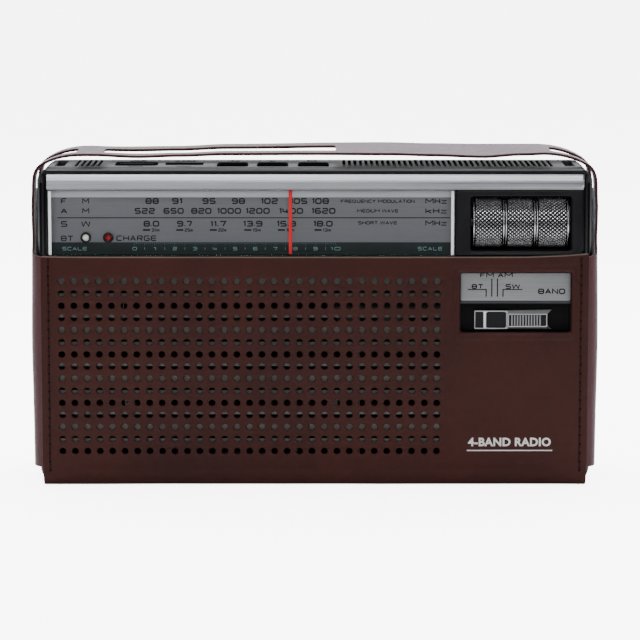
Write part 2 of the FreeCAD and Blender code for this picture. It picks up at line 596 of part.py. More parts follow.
def bend(centre, radius, start, end, y=CORD_PLANE):
    """An arc of dial cord about a Y axis, from one angle in degrees to another, anticlockwise from +X."""
    ring = Part.makeTorus(radius, CORD_RADIUS, V(0, 0, 0), V(0, 0, 1), 0, 360, end - start)
    ring.rotate(V(0, 0, 0), V(0, 0, 1), start)
    ring.rotate(V(0, 0, 0), V(1, 0, 0), 90)
    ring.translate(V(centre[0], y, centre[1]))
    return ring


def spindle_turn(x, toward):
    """Most of a turn round the spindle. It starts at the front and sets off upwards (1) or downwards (-1)."""
    ring = Part.makeTorus(SPINDLE_RADIUS, CORD_RADIUS, V(0, 0, 0), V(0, 0, 1), 0, 360, 330)
    ring.rotate(V(0, 0, 0), V(0, 1, 0), 90)
    ring.rotate(V(0, 0, 0), V(1, 0, 0), 90)
    if toward > 0:
        ring.rotate(V(0, 0, 0), V(0, 1, 0), 180)
    ring.translate(V(x, WHEEL_Y, WHEEL_Z))
    return ring


def dial_cord():
    """Dial cord in two lengths, each from the spindle to the drum.

    The long one goes over the upper right pulley, along the top and round the left pulley. The short one goes
    under the lower right pulley. Their turns lie side by side on the spindle and on the drum.
    """
    right, left, low = (PULLEYS[n] for n in ("pulley_upper_right", "pulley_upper_left", "pulley_lower_right"))
    r = PULLEY_RADIUS
    drum = (DRUM_X, DRUM_Z)
    front, rear = CORD_PLANE - LANE, CORD_PLANE + LANE
    left_off, drum_on = tangent(left, -r, drum, DRUM_RADIUS, False)
    drum_off, low_on = tangent(drum, DRUM_RADIUS, low, r, True)

    def angle(centre, point):
        return math.degrees(math.atan2(point[1] - centre[1], point[0] - centre[0])) % 360

    lands, leaves = angle(drum, drum_on), angle(drum, drum_off)
    long_piece = joined([
        spindle_turn(right[0] + r, -1),
        run((right[0] + r, WHEEL_Z), (right[0] + r, right[1])),
        bend(right, r, 0, 90),
        run((right[0], right[1] + r), (left[0], left[1] + r)),
        bend(left, r, 90, angle(left, left_off)),
        run(left_off, drum_on, CORD_PLANE, front),
        bend(drum, DRUM_RADIUS, lands - 200, lands, front),
    ])
    short_piece = joined([
        spindle_turn(low[0] + r, 1),
        run((low[0] + r, WHEEL_Z), (low[0] + r, low[1])),
        bend(low, r, angle(low, low_on) - 360, 0),
        run(low_on, drum_off, CORD_PLANE, rear),
        bend(drum, DRUM_RADIUS, leaves, leaves + 200, rear),
    ])
    return Part.Compound([long_piece, short_piece])


def dial_pointer():
    """Red needle with an arm that reaches back to a clip on the cord's top run."""
    x, top = POINTER_X, PULLEYS["pulley_upper_left"][1] + PULLEY_RADIUS
    needle = box(x - 0.7, x + 0.7, POINTER_PLANE, POINTER_PLANE + 0.5, 100.6, top + 1.7)
    arm = box(x - 2.0, x + 2.0, POINTER_PLANE, CORD_PLANE + 1.3, top + 0.6, top + 1.7)
    fingers = [
        box(x - 2.0, x + 2.0, y, y + 0.7, top - 0.8, top + 0.7)
        for y in (CORD_PLANE - 1.2, CORD_PLANE + 0.5)
    ]
    return joined([needle, arm] + fingers)


# ---- Sound, electronics and power ---------------------------------------------------------------------
def speaker_basket():
    """Pressed speaker frame: mounting ring, sloped wall with four windows, and a back plate."""
    x, z, r = SPEAKER_X, SPEAKER_Z, SPEAKER_RADIUS
    frame = turned("y", x, z, [(-24.8, r - 5), (-24.8, r), (-23.4, r), (-23.4, r - 2), (-9.0, r - 12), (-5.0, 24),
                               (-3.0, 24), (-3.0, 8), (-4.2, 8), (-4.2, 22.5), (-5.8, 23), (-10.0, r - 14.5),
                               (-23.4, r - 5)])
    windows = []
    for i in range(4):
        a = math.radians(45 + 90 * i)
        windows.append(rod("y", -20, -5.5, x + 33 * math.cos(a), z + 33 * math.sin(a), 7.5))
    return less(frame, *windows)


def speaker_cone():
    """Paper cone with a rolled edge and a dust cap."""
    x, z, r = SPEAKER_X, SPEAKER_Z, SPEAKER_RADIUS
    return turned("y", x, z, [(-23.2, r - 5.6), (-23.6, r - 8), (-22.6, r - 9), (-10.5, 11), (-12.5, 7), (-13.5, 0),
                              (-13.0, 0), (-12.0, 7), (-9.6, 11.2), (-9.6, 12), (-21.8, r - 9.6), (-22.8, r - 8),
                              (-22.9, r - 5.6)])


def speaker_magnet():
    """Ring magnet with its plates, the pole piece and the voice coil."""
    x, z = SPEAKER_X, SPEAKER_Z
    ring = rod("y", -3.0, 7.0, x, z, 22.5)
    plate = rod("y", 7.0, 9.5, x, z, 20.0)
    pole = rod("y", -9.4, 0, x, z, 6.5)
    return joined([ring, plate, pole])


def speaker_screws():
    """Four clamps that hold the speaker ring to the front shell."""
    places = [(SPEAKER_X + 45.6 * math.cos(a), SPEAKER_Z + 45.6 * math.sin(a))
              for a in (math.radians(v) for v in (20, 160, 200, 340))]
    return Part.Compound([
        joined([rod("y", -24.9, -23.3, x, z, 1.4), rod("y", -23.3, -22.3, x, z, 3.0)]) for x, z in places
    ])


def main_board():
    """Receiver board, cut away round the thumbwheels."""
    return slab("xz", -11.4, -9.8, shape("xz", (8, 78), (62, 78), (62, 64), (113, 64), (113, 84), (108, 84),
                                         (108, 100), (62, 100), (62, 122), (8, 122)),
                [hole("xz", x, z, 1.5) for x, z in BOARD_POSTS])


def board_coils():
    """Screened coils and filters on the receiver board."""
    places = [(68 + 9.5 * i, 84.5) for i in range(3)] + [(20 + 10 * i, 110) for i in range(2)]
    cans = []
    for x, z in places:
        can = box(x - 3.6, x + 3.6, -9.8, 1.5, z - 3.6, z + 3.6)
        cans.append(can.cut(rod("y", 0.3, 3, x, z, 1.6)))
    return Part.Compound(cans)


def board_capacitors():
    """Electrolytic capacitors on the receiver board."""
    places = [(46, 92, 3.2), (55, 92, 3.2), (46, 112, 4.0), (56, 114, 3.2), (98, 94, 2.8)]
    return Part.Compound([rod("y", -9.8, -9.8 + 3.2 * r, x, z, r) for x, z, r in places])


def ferrite_rod():
    return rod("x", -72, 30, 10.5, 114.5, 5.0)


def ferrite_coils():
    """Two windings on formers round the ferrite rod."""
    return Part.Compound([pipe("x", a, b, 10.5, 114.5, 6.2, 5.1) for a, b in ((-64, -38), (2, 20))])


def ferrite_clips():
    """Two plastic rings that hang the ferrite rod from the audio board."""
    clips = []
    for x in (-71.0, -4.0):
        ring = rod("x", x, x + 3.5, 10.5, 114.5, 7.2)
        leg = box(x, x + 3.5, 8.0, 13.0, 116.0, 123.4)
        clips.append(less(ring.fuse(leg), rod("x", x - 1, x + 5, 10.5, 114.5, 5.0 + RUNNING)))
    return Part.Compound(clips)


def audio_board():
    """Small board under the top plate for the keys and ports."""
    return slab("xy", 123.4, 124.8, rectangle("xy", -92, 12, -10, 17.8, 1),
                [hole("xy", x, y, 1.3) for x, y in AUDIO_POSTS])


def key_switches():
    """Tactile switches under the three keys."""
    return Part.Compound([
        joined([box(x - 3, x + 3, KEY_Y - 3, KEY_Y + 3, 124.8, 128.3), rod("z", 128.3, PLUNGER_TOP, x, KEY_Y, 1.7)])
        for x in KEY_CENTRES.values()
    ])


def key(x):
    """A top key with a raised bar, a collar that stops it under the plate, and a stem."""
    cap = slab("xy", 133.9, 136.7, rectangle("xy", x - KEY_LENGTH / 2, x + KEY_LENGTH / 2, KEY_Y - KEY_DEPTH / 2,
                                             KEY_Y + KEY_DEPTH / 2, 0.8))
    bar = slab("xy", 136.5, 137.0, rectangle("xy", x - 4.5, x + 4.5, KEY_Y - 0.8, KEY_Y + 0.8, 0.5))
    collar = box(x - KEY_LENGTH / 2 - 0.6, x + KEY_LENGTH / 2 + 0.6, KEY_Y - KEY_DEPTH / 2, KEY_Y + KEY_DEPTH / 2,
                 133.0, 134.0)
    stem = rod("z", PLUNGER_TOP + KEY_TRAVEL + 0.1, 133.2, x, KEY_Y, 1.6)
    return joined([cap, bar, collar, stem])


def usb_port():
    """Upright socket for a memory stick: a shell with a tongue."""
    shell = box(USB_X - 7.1, USB_X + 7.1, PORT_Y - 3.5, PORT_Y + 3.5, 124.8, 135.6)
    mouth = box(USB_X - 6.3, USB_X + 6.3, PORT_Y - 2.6, PORT_Y + 2.6, 126.0, 136)
    tongue = box(USB_X - 5.6, USB_X + 5.6, PORT_Y + 0.9, PORT_Y + 2.6, 126.0, 130.6)
    return shell.cut(mouth).fuse(tongue)


def card_slot():
    """Socket for a small memory card."""
    body = box(CARD_X - 7.6, CARD_X + 7.6, PORT_Y - 1.6, PORT_Y + 1.6, 124.8, 135.4)
    return body.cut(box(CARD_X - 5.7, CARD_X + 5.7, PORT_Y - 0.6, PORT_Y + 0.6, 126.5, 136))


def top_deck():
    """Satin top plate: vents, key openings, ports and a finger recess at each end."""
    x0, x1, y0, y1 = DECK
    vent = 1.25
    vents = [rectangle("xy", 12.0 + 2.41 * i, 12.0 + 2.41 * i + vent, -12.0, 18.0, 0.3) for i in range(38)]
    vents += [rectangle("xy", -103.4 + 2.41 * i, -103.4 + 2.41 * i + vent, -12.0, 18.0, 0.3) for i in range(5)]
    recesses = [rectangle("xy", side * 109.8 - 2.2, side * 109.8 + 2.2, -11.0, 14.0, 0.8) for side in (-1, 1)]
    keys = [
        rectangle("xy", x - KEY_LENGTH / 2 - 0.25, x + KEY_LENGTH / 2 + 0.25, KEY_Y - KEY_DEPTH / 2 - 0.25,
                  KEY_Y + KEY_DEPTH / 2 + 0.25, 0.9) for x in KEY_CENTRES.values()
    ]
    ports = [
        rectangle("xy", USB_X - 7.3, USB_X + 7.3, PORT_Y - 3.7, PORT_Y + 3.7, 0.4),
        rectangle("xy", CARD_X - 7.8, CARD_X + 7.8, PORT_Y - 1.8, PORT_Y + 1.8, 0.6),
    ]
    plate = slab("xy", DECK_BOTTOM, CABINET_TOP, rectangle("xy", x0, x1, y0, y1, 1.5),
                 vents + recesses + keys + ports)
    return plate.common(slab("xz", -40, 40, rectangle("xz", -CABINET_HALF_WIDTH, CABINET_HALF_WIDTH, 0,
                                                      CABINET_TOP, 6)))


def power_transformer():
    """Mains transformer: laminated core with a winding."""
    core = box(-114.5, -86.0, 1.0, 15.0, 15.0, 47.0)
    core = less(core, box(-110.5, -103.5, 0, 16, 21, 41), box(-97.0, -90.0, 0, 16, 21, 41))
    winding = box(-110.4, -90.1, -4.0, 20.0, 21.2, 40.8)
    feet = [box(-111.0, -88.0, 14.5, CABINET_BACK - WALL, z, z + 1.6) for z in (15.5, 44.5)]
    return joined([core, winding] + feet)


def power_inlet():
    """Two-pin mains inlet with a figure-eight mouth."""
    x0, x1, z0, z1 = INLET
    x, z = (x0 + x1) / 2, (z0 + z1) / 2
    body = box(x0, x1, 9.0, CABINET_BACK, z0, z1)
    mouth = slab("xz", 12.0, 30, rectangle("xz", x - 8.3, x + 8.3, z - 4.0, z + 4.0, 3.6))
    pins = [rod("y", 10.0, 21.5, x + s * 3.3, z, 1.2) for s in (-1, 1)]
    return body.cut(mouth).multiFuse(pins)


def headphone_jack():
    """Earphone socket for a 3.5 mm plug."""
    body = box(JACK_X - 5, JACK_X + 5, CABINET_BACK - JACK_DEPTH - 1.5, CABINET_BACK - WALL, JACK_Z - 5, JACK_Z + 5)
    collar = rod("y", CABINET_BACK - 2.4, CABINET_BACK, JACK_X, JACK_Z, 4.0)
    return body.fuse(collar).cut(rod("y", CABINET_BACK - JACK_DEPTH, 40, JACK_X, JACK_Z, JACK_RADIUS))


def cell(z):
    """A size D cell with its positive cap to the right."""
    x0 = (BATTERY_BOX[0] + BATTERY_BOX[1] - CELL_LENGTH) / 2 + 0.8
    body = rod("x", x0, x0 + CELL_LENGTH - 1.5, CELL_Y, z, CELL_RADIUS)
    return body.fuse(rod("x", x0 + CELL_LENGTH - 1.6, x0 + CELL_LENGTH, CELL_Y, z, 4.6))


def battery_contacts():
    """Spring cones at the left and plates at the right of the battery tray."""
    parts = []
    x0, x1 = BATTERY_BOX[:2]
    left_face = (x0 + x1 - CELL_LENGTH) / 2 + 0.8
    for z in (CELL_LOW_Z, CELL_HIGH_Z):
        spring = turned("x", CELL_Y, z, [(x0 + 0.5, 4.0), (x0 + 0.5, 7.0), (left_face, 4.5), (left_face, 3.0)])
        parts.append(spring.fuse(box(x0, x0 + 0.6, CELL_Y - 8, CELL_Y + 8, z - 8, z + 8)))
    right_face = left_face + CELL_LENGTH
    parts.append(box(right_face, x1, CELL_Y - 8, CELL_Y + 8, CELL_LOW_Z - 8, CELL_HIGH_Z + 8))
    return Part.Compound(parts)


# ---- Telescopic aerial --------------------------------------------------------------------------------
def aerial_swivel():
    """Swivel post with the two ears that hold the aerial's knuckle."""
    x, y, z = AERIAL_PIVOT_X, AERIAL_Y, AERIAL_Z
    post = rod("z", 122.0, 129.0, x, y, 3.2)
    ears = []
    for y0, y1 in ((y - 2.6, y - 1.08), (y + 1.08, y + 2.6)):
        ears.append(box(x - 2.3, x + 2.3, y0, y1, 128.9, z).fuse(rod("y", y0, y1, x, z, 2.3)))
    pin = rod("y", y - 2.6, y + 2.6, x, z, 0.9)
    return joined([post, pin] + ears)


def aerial_tube(i):
    """One section, counted from the outside. The first has the knuckle and the last is solid."""
    outer = AERIAL_OUTER - i * AERIAL_STEP
    x1 = AERIAL_ROOT_X - (0 if i == 0 else 1.5 + 0.5 * i)
    x0 = AERIAL_ROOT_X - AERIAL_TUBE_LENGTH - i * AERIAL_PROUD
    solid = rod("x", x0, x1, AERIAL_Y, AERIAL_Z, outer)
    if i < AERIAL_TUBES - 1:
        solid = solid.cut(rod("x", x0 - 1, AERIAL_ROOT_X - 1.0, AERIAL_Y, AERIAL_Z, outer - AERIAL_WALL))
    if i == 0:
        tongue = box(x1 - 0.5, AERIAL_PIVOT_X, AERIAL_Y - 1.0, AERIAL_Y + 1.0, AERIAL_Z - 2.3, AERIAL_Z + 2.3)
        eye = rod("y", AERIAL_Y - 1.0, AERIAL_Y + 1.0, AERIAL_PIVOT_X, AERIAL_Z, 2.3)
        bore = rod("y", AERIAL_Y - 2, AERIAL_Y + 2, AERIAL_PIVOT_X, AERIAL_Z, 0.9 + RUNNING)
        solid = joined([solid, tongue, eye]).cut(bore)
    return solid


def aerial_tip():
    """Round cap on the innermost section."""
    x = AERIAL_ROOT_X - AERIAL_TUBE_LENGTH - (AERIAL_TUBES - 1) * AERIAL_PROUD
    return turned("x", AERIAL_Y, AERIAL_Z, [(x - 6.0, 0), (x - 6.0, 2.2), (x - 5.3, 2.9), (x - 0.6, 2.9), (x, 2.3),
                                            (x, 0)])


def main():
    os.makedirs("parts", exist_ok=True)
    single = [
        leather_wrap, gusset_strap, front_cabinet, rear_cabinet, battery_tray, cabinet_screws, battery_door,
        speaker_grille, dial_lens, dial_scale, lamp_bezels, trim_bar, band_plate, band_knob, band_switch,
        volume_wheel, tone_wheel, tuning_wheel, twin_control, wheel_bracket, cord_drum, tuning_capacitor,
        dial_cord, dial_pointer, speaker_basket, speaker_cone, speaker_magnet, speaker_screws, main_board,
        board_coils, board_capacitors, ferrite_rod, ferrite_coils, ferrite_clips, audio_board, key_switches,
        usb_port, card_slot, top_deck, power_transformer, power_inlet, headphone_jack, battery_contacts,
        aerial_swivel, aerial_tip,
    ]
    for make in single:
        save(make.__name__, make())
    for name, (x, z) in PULLEYS.items():
        save(name, grooved(x, z, PULLEY_RADIUS, PULLEY_PIN_RADIUS + RUNNING, 0.5, 1.5, 0.7))
    for name, (x, z) in lamp_places().items():
        save(name, lamp(x, z))
    for name, x in KEY_CENTRES.items():
        save(name, key(x))
    save("cell_lower", cell(CELL_LOW_Z))
    save("cell_upper", cell(CELL_HIGH_Z))
    for i in range(AERIAL_TUBES):
        save(f"aerial_section_{i + 1}", aerial_tube(i))


main()
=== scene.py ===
"""The looks of the shortwave receiver: leather case, dial, wheels and trim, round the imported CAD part.

Lengths are in millimetres until a mesh is made. X is to the right, Y to the back and Z up.
The dial faces -Y.
"""
import math

import bmesh
import bpy
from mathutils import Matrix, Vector, noise


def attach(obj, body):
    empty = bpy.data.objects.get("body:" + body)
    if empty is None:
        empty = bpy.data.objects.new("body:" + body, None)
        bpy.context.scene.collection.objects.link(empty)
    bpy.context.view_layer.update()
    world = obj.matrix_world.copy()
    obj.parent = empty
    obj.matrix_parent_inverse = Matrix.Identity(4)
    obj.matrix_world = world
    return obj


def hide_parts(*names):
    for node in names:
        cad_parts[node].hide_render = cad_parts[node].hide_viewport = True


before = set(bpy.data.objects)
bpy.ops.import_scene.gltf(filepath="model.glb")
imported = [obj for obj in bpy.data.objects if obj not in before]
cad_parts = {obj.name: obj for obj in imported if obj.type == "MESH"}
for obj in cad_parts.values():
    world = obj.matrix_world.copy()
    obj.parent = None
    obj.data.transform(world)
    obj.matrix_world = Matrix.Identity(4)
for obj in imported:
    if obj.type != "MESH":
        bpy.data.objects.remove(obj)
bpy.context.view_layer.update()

MM = 0.001
UP = Vector((0, 0, 1))


# ---- Sizes --------------------------------------------------------------------------------------------
WRAP_T = 1.4
WRAP_BEND = 4.0
WRAP_DEPTH = 30.0
WRAP_TOP = 99.0
WRAP_BACK_TOP = 126.5
WRAP_X = 116.7
BAND_T = 1.2
BAND_X = 120.3
STRAP_TOP = 143.0
SEAM_X = 113.5
STITCH_PITCH = 3.8
# Perforations: how many across and down, their pitch, and the first hole's x and its drop below WRAP_TOP.
HOLES = (31, 15)
HOLE_PITCH = (5.34, 5.24)
HOLE_START = (-108.0, 15.1)
HOLE_R = 1.4
# Raised frame pressed round the band window: its middle as (x, z), half its width and height, and how
# far out from that the leather is cut into strips that can take the relief.
FRAME_MIDDLE = (85.55, 78.6)
FRAME_HALF = (24.4, 14.2)
FRAME_CUTS = (0.2, 0.9, 1.6, 2.3, 3.0)
# How far down the front the crease above the bottom fold lies, and half its width.
CREASE_S = 91.5
CREASE_W = 1.3
# The thumbwheels' axis as (y, z), and each wheel's span in x.
WHEEL_AXIS = (-18.2, 112.7)
WHEEL_R = 10.8
WHEELS = {"volume": (67.5, 80.6), "tone": (81.2, 93.8), "tuning": (94.4, 107.9)}
# The dial window's x and z spans, and the depths of the printing on the scale and on the band plate.
DIAL = (-113.4, 59.4, 99.3, 127.1)
SCALE_PRINT_Y = -24.92
BAND_PRINT_Y = -27.62
# Deck: heights of its plate's middle and top, the vents' pitch, the keys' places, and the ports' mouths
# as x and y spans, corner radius and corner steps.
DECK_Z = 135.1
DECK_TOP = 136.0
VENT_PITCH = 2.41
KEY_X = {"previous": -35.5, "play": -18.2, "next": -0.6}
USB_MOUTH = (-84.3, -69.7, -2.7, 4.7, 0.4, 2)
CARD_MOUTH = (-64.2, -48.6, -0.8, 2.8, 0.4, 2)


# ---- Materials ----------------------------------------------------------------------------------------
def srgb(r, g, b):
    """A colour given as 0 to 255 screen values, as linear light."""
    def line(v):
        v /= 255
        return v / 12.92 if v <= 0.04045 else ((v + 0.055) / 1.055) ** 2.4
    return (line(r), line(g), line(b), 1.0)


def shade(color, by):
    """The same hue, darker or lighter."""
    return tuple(min(1, v * by) for v in color[:3]) + (1,)


class Nodes:
    """A material's node tree, built by short calls."""

    def __init__(self, name):
        self.material = bpy.data.materials.new(name)
        self.material.use_nodes = True
        self.tree = self.material.node_tree
        self.tree.nodes.clear()
        self.output = self.add("ShaderNodeOutputMaterial")
        coords = self.add("ShaderNodeTexCoord")
        self.position = coords.outputs["Object"]

    def add(self, kind, **settings):
        node = self.tree.nodes.new(kind)
        for key, value in settings.items():
            setattr(node, key, value)
        return node

    def feed(self, socket, value):
        if isinstance(value, bpy.types.NodeSocket):
            self.tree.links.new(value, socket)
        else:
            socket.default_value = value

    def math(self, operation, *values):
        node = self.add("ShaderNodeMath", operation=operation)
        for socket, value in zip(node.inputs, values):
            self.feed(socket, value)
        return node.outputs[0]

    def scaled(self, scale):
        node = self.add("ShaderNodeMapping")
        self.feed(node.inputs["Vector"], self.position)
        node.inputs["Scale"].default_value = scale
        return node.outputs[0]

    def noise(self, scale, detail=4.0, stretch=(1, 1, 1), roughness=0.5):
        node = self.add("ShaderNodeTexNoise")
        self.feed(node.inputs["Vector"], self.scaled(stretch))
        node.inputs["Scale"].default_value = scale
        node.inputs["Detail"].default_value = detail
        node.inputs["Roughness"].default_value = roughness
        return node.outputs["Fac"]

    def cells(self, scale, feature="F1"):
        node = self.add("ShaderNodeTexVoronoi", feature=feature)
        self.feed(node.inputs["Vector"], self.scaled((1, 1, 1)))
        node.inputs["Scale"].default_value = scale
        return node.outputs["Distance"]

    def spread(self, value, low, high, to_low=0.0, to_high=1.0):
        node = self.add("ShaderNodeMapRange")
        self.feed(node.inputs["Value"], value)
        limits = {"From Min": low, "From Max": high, "To Min": to_low, "To Max": to_high}
        for key, limit in limits.items():
            node.inputs[key].default_value = limit
        return node.outputs["Result"]

    def mix(self, share, first, second):
        node = self.add("ShaderNodeMix", data_type="RGBA")
        self.feed(node.inputs[0], share)
        self.feed(node.inputs[6], first)
        self.feed(node.inputs[7], second)
        return node.outputs[2]

    def bump(self, height, strength, distance, below=None):
        node = self.add("ShaderNodeBump")
        node.inputs["Strength"].default_value = strength
        node.inputs["Distance"].default_value = distance
        self.feed(node.inputs["Height"], height)
        if below is not None:
            self.feed(node.inputs["Normal"], below)
        return node.outputs["Normal"]

    def axis(self, name):
        node = self.add("ShaderNodeSeparateXYZ")
        self.feed(node.inputs[0], self.position)
        return node.outputs[name]

    def surface(self, color, roughness, metallic=0.0, normal=None, **more):
        node = self.add("ShaderNodeBsdfPrincipled")
        self.feed(node.inputs["Base Color"], color)
        self.feed(node.inputs["Roughness"], roughness)
        node.inputs["Metallic"].default_value = metallic
        if normal is not None:
            self.feed(node.inputs["Normal"], normal)
        for key, value in more.items():
            self.feed(node.inputs[key.replace("_", " ")], value)
        self.tree.links.new(node.outputs["BSDF"], self.output.inputs["Surface"])
        return self.material


def leather(name, dark, light, grain=1.0, gloss=0.5, marks=True, shine=0.32, relief=1.0, sheen=0.0,
            painted_sheen=None):
    """Pebbled, lightly waxed leather: cells for the grain, pores, faint creases and uneven dye.

    A colour given last, a lighter mauve-grey that is painted sheen, takes over below the strap's corners.
    """
    n = Nodes(name)
    pebbles = n.cells(1500 / grain, "SMOOTH_F1")
    pores = n.noise(4200 / grain, 2)
    cloud = n.noise(22, 5, roughness=0.6)
    fine = n.noise(300, 4)
    tone = n.spread(cloud, 0.35, 0.68)
    color = n.mix(tone, dark, light)
    # Painted sheen: below the strap's corners the base colour turns to a lighter mauve-grey, standing in for
    # the sheen the gussets catch at a slant.
    if painted_sheen:
        color = n.mix(n.spread(n.axis("Z"), 0.100, 0.128), painted_sheen, color)
    valley = n.spread(pebbles, 0.0, 0.55)
    color = n.mix(n.math("MULTIPLY", valley, 0.22), color, shade(dark, 0.45))
    height = n.math("ADD", n.math("MULTIPLY", pebbles, -0.8), n.math("MULTIPLY", pores, 0.35))
    normal = n.bump(height, 0.34 * relief, 0.00022)
    if marks:
        creases = n.spread(n.noise(95, 3, (1, 1, 0.35)), 0.47, 0.53)
        normal = n.bump(creases, 0.05 * relief, 0.0006, normal)
    rough = n.spread(fine, 0.3, 0.7, gloss - 0.07, gloss + 0.09)
    return n.surface(color, rough, normal=normal, IOR=1.40, Specular_IOR_Level=shine, Sheen_Weight=sheen,
                     Sheen_Roughness=0.35, Sheen_Tint=(0.86, 0.86, 1.0, 1))


def plastic(name, color, roughness, texture, grain=5200.0, shine=0.5):
    """Moulded plastic with a spark-eroded texture and slightly uneven gloss."""
    n = Nodes(name)
    speck = n.noise(grain, 3)
    smear = n.noise(60, 4)
    tone = n.mix(n.spread(smear, 0.3, 0.7), color, shade(color, 1.25))
    normal = n.bump(speck, texture, 0.00008)
    rough = n.spread(smear, 0.3, 0.7, roughness - 0.05, roughness + 0.07)
    return n.surface(tone, rough, normal=normal, Specular_IOR_Level=shine)


def brushed(name, color, roughness, stretch, strength, metallic=1.0, shine=0.5):
    """Satin metal: long fine scratches along one axis."""
    n = Nodes(name)
    lines = n.noise(2600, 3, stretch)
    broad = n.noise(140, 3, stretch)
    dust = n.noise(40, 4)
    tone = n.mix(n.spread(lines, 0.25, 0.75), shade(color, 0.8), color)
    rough = n.math("ADD", n.spread(broad, 0.3, 0.7, roughness - 0.05, roughness + 0.05),
                   n.spread(dust, 0.4, 0.7, 0.0, 0.05))
    normal = n.bump(lines, strength, 0.00003)
    return n.surface(tone, rough, metallic=metallic, normal=normal, Specular_IOR_Level=shine)


def chrome(name, tint, roughness):
    """Plated metal with a trace of orange peel and handling haze."""
    n = Nodes(name)
    haze = n.noise(90, 5)
    peel = n.noise(700, 2)
    rough = n.spread(haze, 0.35, 0.7, roughness, roughness + 0.10)
    tone = n.mix(n.spread(haze, 0.35, 0.75), tint, shade(tint, 0.86))
    return n.surface(tone, rough, metallic=1.0, normal=n.bump(peel, 0.05, 0.00005))


def knurled(name):
    """Bright plating, darkened towards the valleys between the diamonds as painted shade."""
    n = Nodes(name)
    across = n.math("ADD", n.axis("Y"), -WHEEL_AXIS[0] * MM)
    up = n.math("ADD", n.axis("Z"), -WHEEL_AXIS[1] * MM)
    radius = n.math("SQRT", n.math("ADD", n.math("MULTIPLY", across, across), n.math("MULTIPLY", up, up)))
    height = n.spread(radius, (WHEEL_R - 1.0) * MM, (WHEEL_R - 0.25) * MM)
    haze = n.noise(300, 4)
    bright = n.mix(n.spread(haze, 0.35, 0.7), (0.86, 0.86, 0.88, 1), (0.66, 0.66, 0.68, 1))
    # Painted shade: the colour drops to near-black towards the valleys' floor, set by the distance from the
    # wheels' axis.
    tone = n.mix(height, (0.02, 0.02, 0.022, 1), bright)
    rough = n.spread(haze, 0.35, 0.7, 0.18, 0.30)
    return n.surface(tone, rough, metallic=0.75, normal=n.bump(haze, 0.05, 0.00003))


def clear(name):
    """Thin clear acrylic: you see straight through it, with a reflection that grows at a slant."""
    n = Nodes(name)
    see = n.add("ShaderNodeBsdfTransparent")
    see.inputs["Color"].default_value = (0.97, 0.97, 0.975, 1)
    gloss = n.add("ShaderNodeBsdfGlossy")
    wear = n.noise(160, 5, (0.15, 1, 1))
    n.feed(gloss.inputs["Roughness"], n.spread(wear, 0.4, 0.7, 0.02, 0.12))
    slant = n.math("POWER", n.add("ShaderNodeLayerWeight").outputs["Facing"], 5.0)
    mixer = n.add("ShaderNodeMixShader")
    n.feed(mixer.inputs[0], n.spread(slant, 0.0, 1.0, 0.025, 0.95))
    n.tree.links.new(see.outputs[0], mixer.inputs[1])
    n.tree.links.new(gloss.outputs[0], mixer.inputs[2])
    n.tree.links.new(mixer.outputs[0], n.output.inputs["Surface"])
    return n.material


def dial_print():
    """Grey scale plate: a vertical fade, a green band at its foot and a pale band at its head, a painted
    highlight for the light the window's top catches.
    """
    n = Nodes("scale_plate")
    z = n.axis("Z")
    grain = n.noise(1900, 3, (0.04, 1, 1))
    base = n.mix(n.spread(z, 0.1035, 0.1245), srgb(101, 103, 107), srgb(112, 113, 116))
    base = n.mix(n.spread(grain, 0.3, 0.7, 0.0, 0.22), base, srgb(82, 85, 89))
    green = n.mix(n.spread(grain, 0.3, 0.7), srgb(1, 19, 21), srgb(4, 26, 27))
    color = n.mix(n.spread(z, 0.10460, 0.10470), green, base)
    color = n.mix(n.spread(z, 0.1004, 0.1005), srgb(10, 40, 38), color)
    # Painted highlight: the pale band across the plate's head stands in for the light caught at the top of
    # the window.
    color = n.mix(n.spread(z, 0.12385, 0.1240), color, srgb(188, 192, 196))
    rough = n.spread(grain, 0.3, 0.7, 0.34, 0.46)
    return n.surface(color, rough, metallic=0.35, normal=n.bump(grain, 0.06, 0.00003))


def thread(name, color):
    """Waxed thread with a twist."""
    n = Nodes(name)
    node = n.add("ShaderNodeTexWave", wave_type="BANDS", bands_direction="DIAGONAL")
    n.feed(node.inputs["Vector"], n.position)
    node.inputs["Scale"].default_value = 1300
    node.inputs["Distortion"].default_value = 1.5
    twist = node.outputs["Fac"]
    tone = n.mix(n.spread(twist, 0.2, 0.8), shade(color, 0.5), color)
    return n.surface(tone, 0.6, normal=n.bump(twist, 0.4, 0.0001), Specular_IOR_Level=0.12)


def board(name):
    """Printed board: resist over faint copper tracks."""
    n = Nodes(name)
    tracks = n.cells(260)
    tone = n.mix(n.spread(tracks, 0.28, 0.34), srgb(24, 84, 48), srgb(14, 58, 34))
    return n.surface(tone, 0.32, normal=n.bump(tracks, 0.1, 0.0001))


def floor_material():
    """Pale floor. It glows for the camera only, so it reads as white paper but doesn't light the object."""
    n = Nodes("studio_floor")
    wash = n.noise(3, 2)
    seen = n.add("ShaderNodeLightPath").outputs["Is Camera Ray"]
    color = n.mix(wash, (0.90, 0.90, 0.90, 1), (0.93, 0.93, 0.93, 1))
    return n.surface(color, 0.9, Emission_Color=(1, 1, 1, 1),
                     Emission_Strength=n.math("MULTIPLY", seen, 6.0))


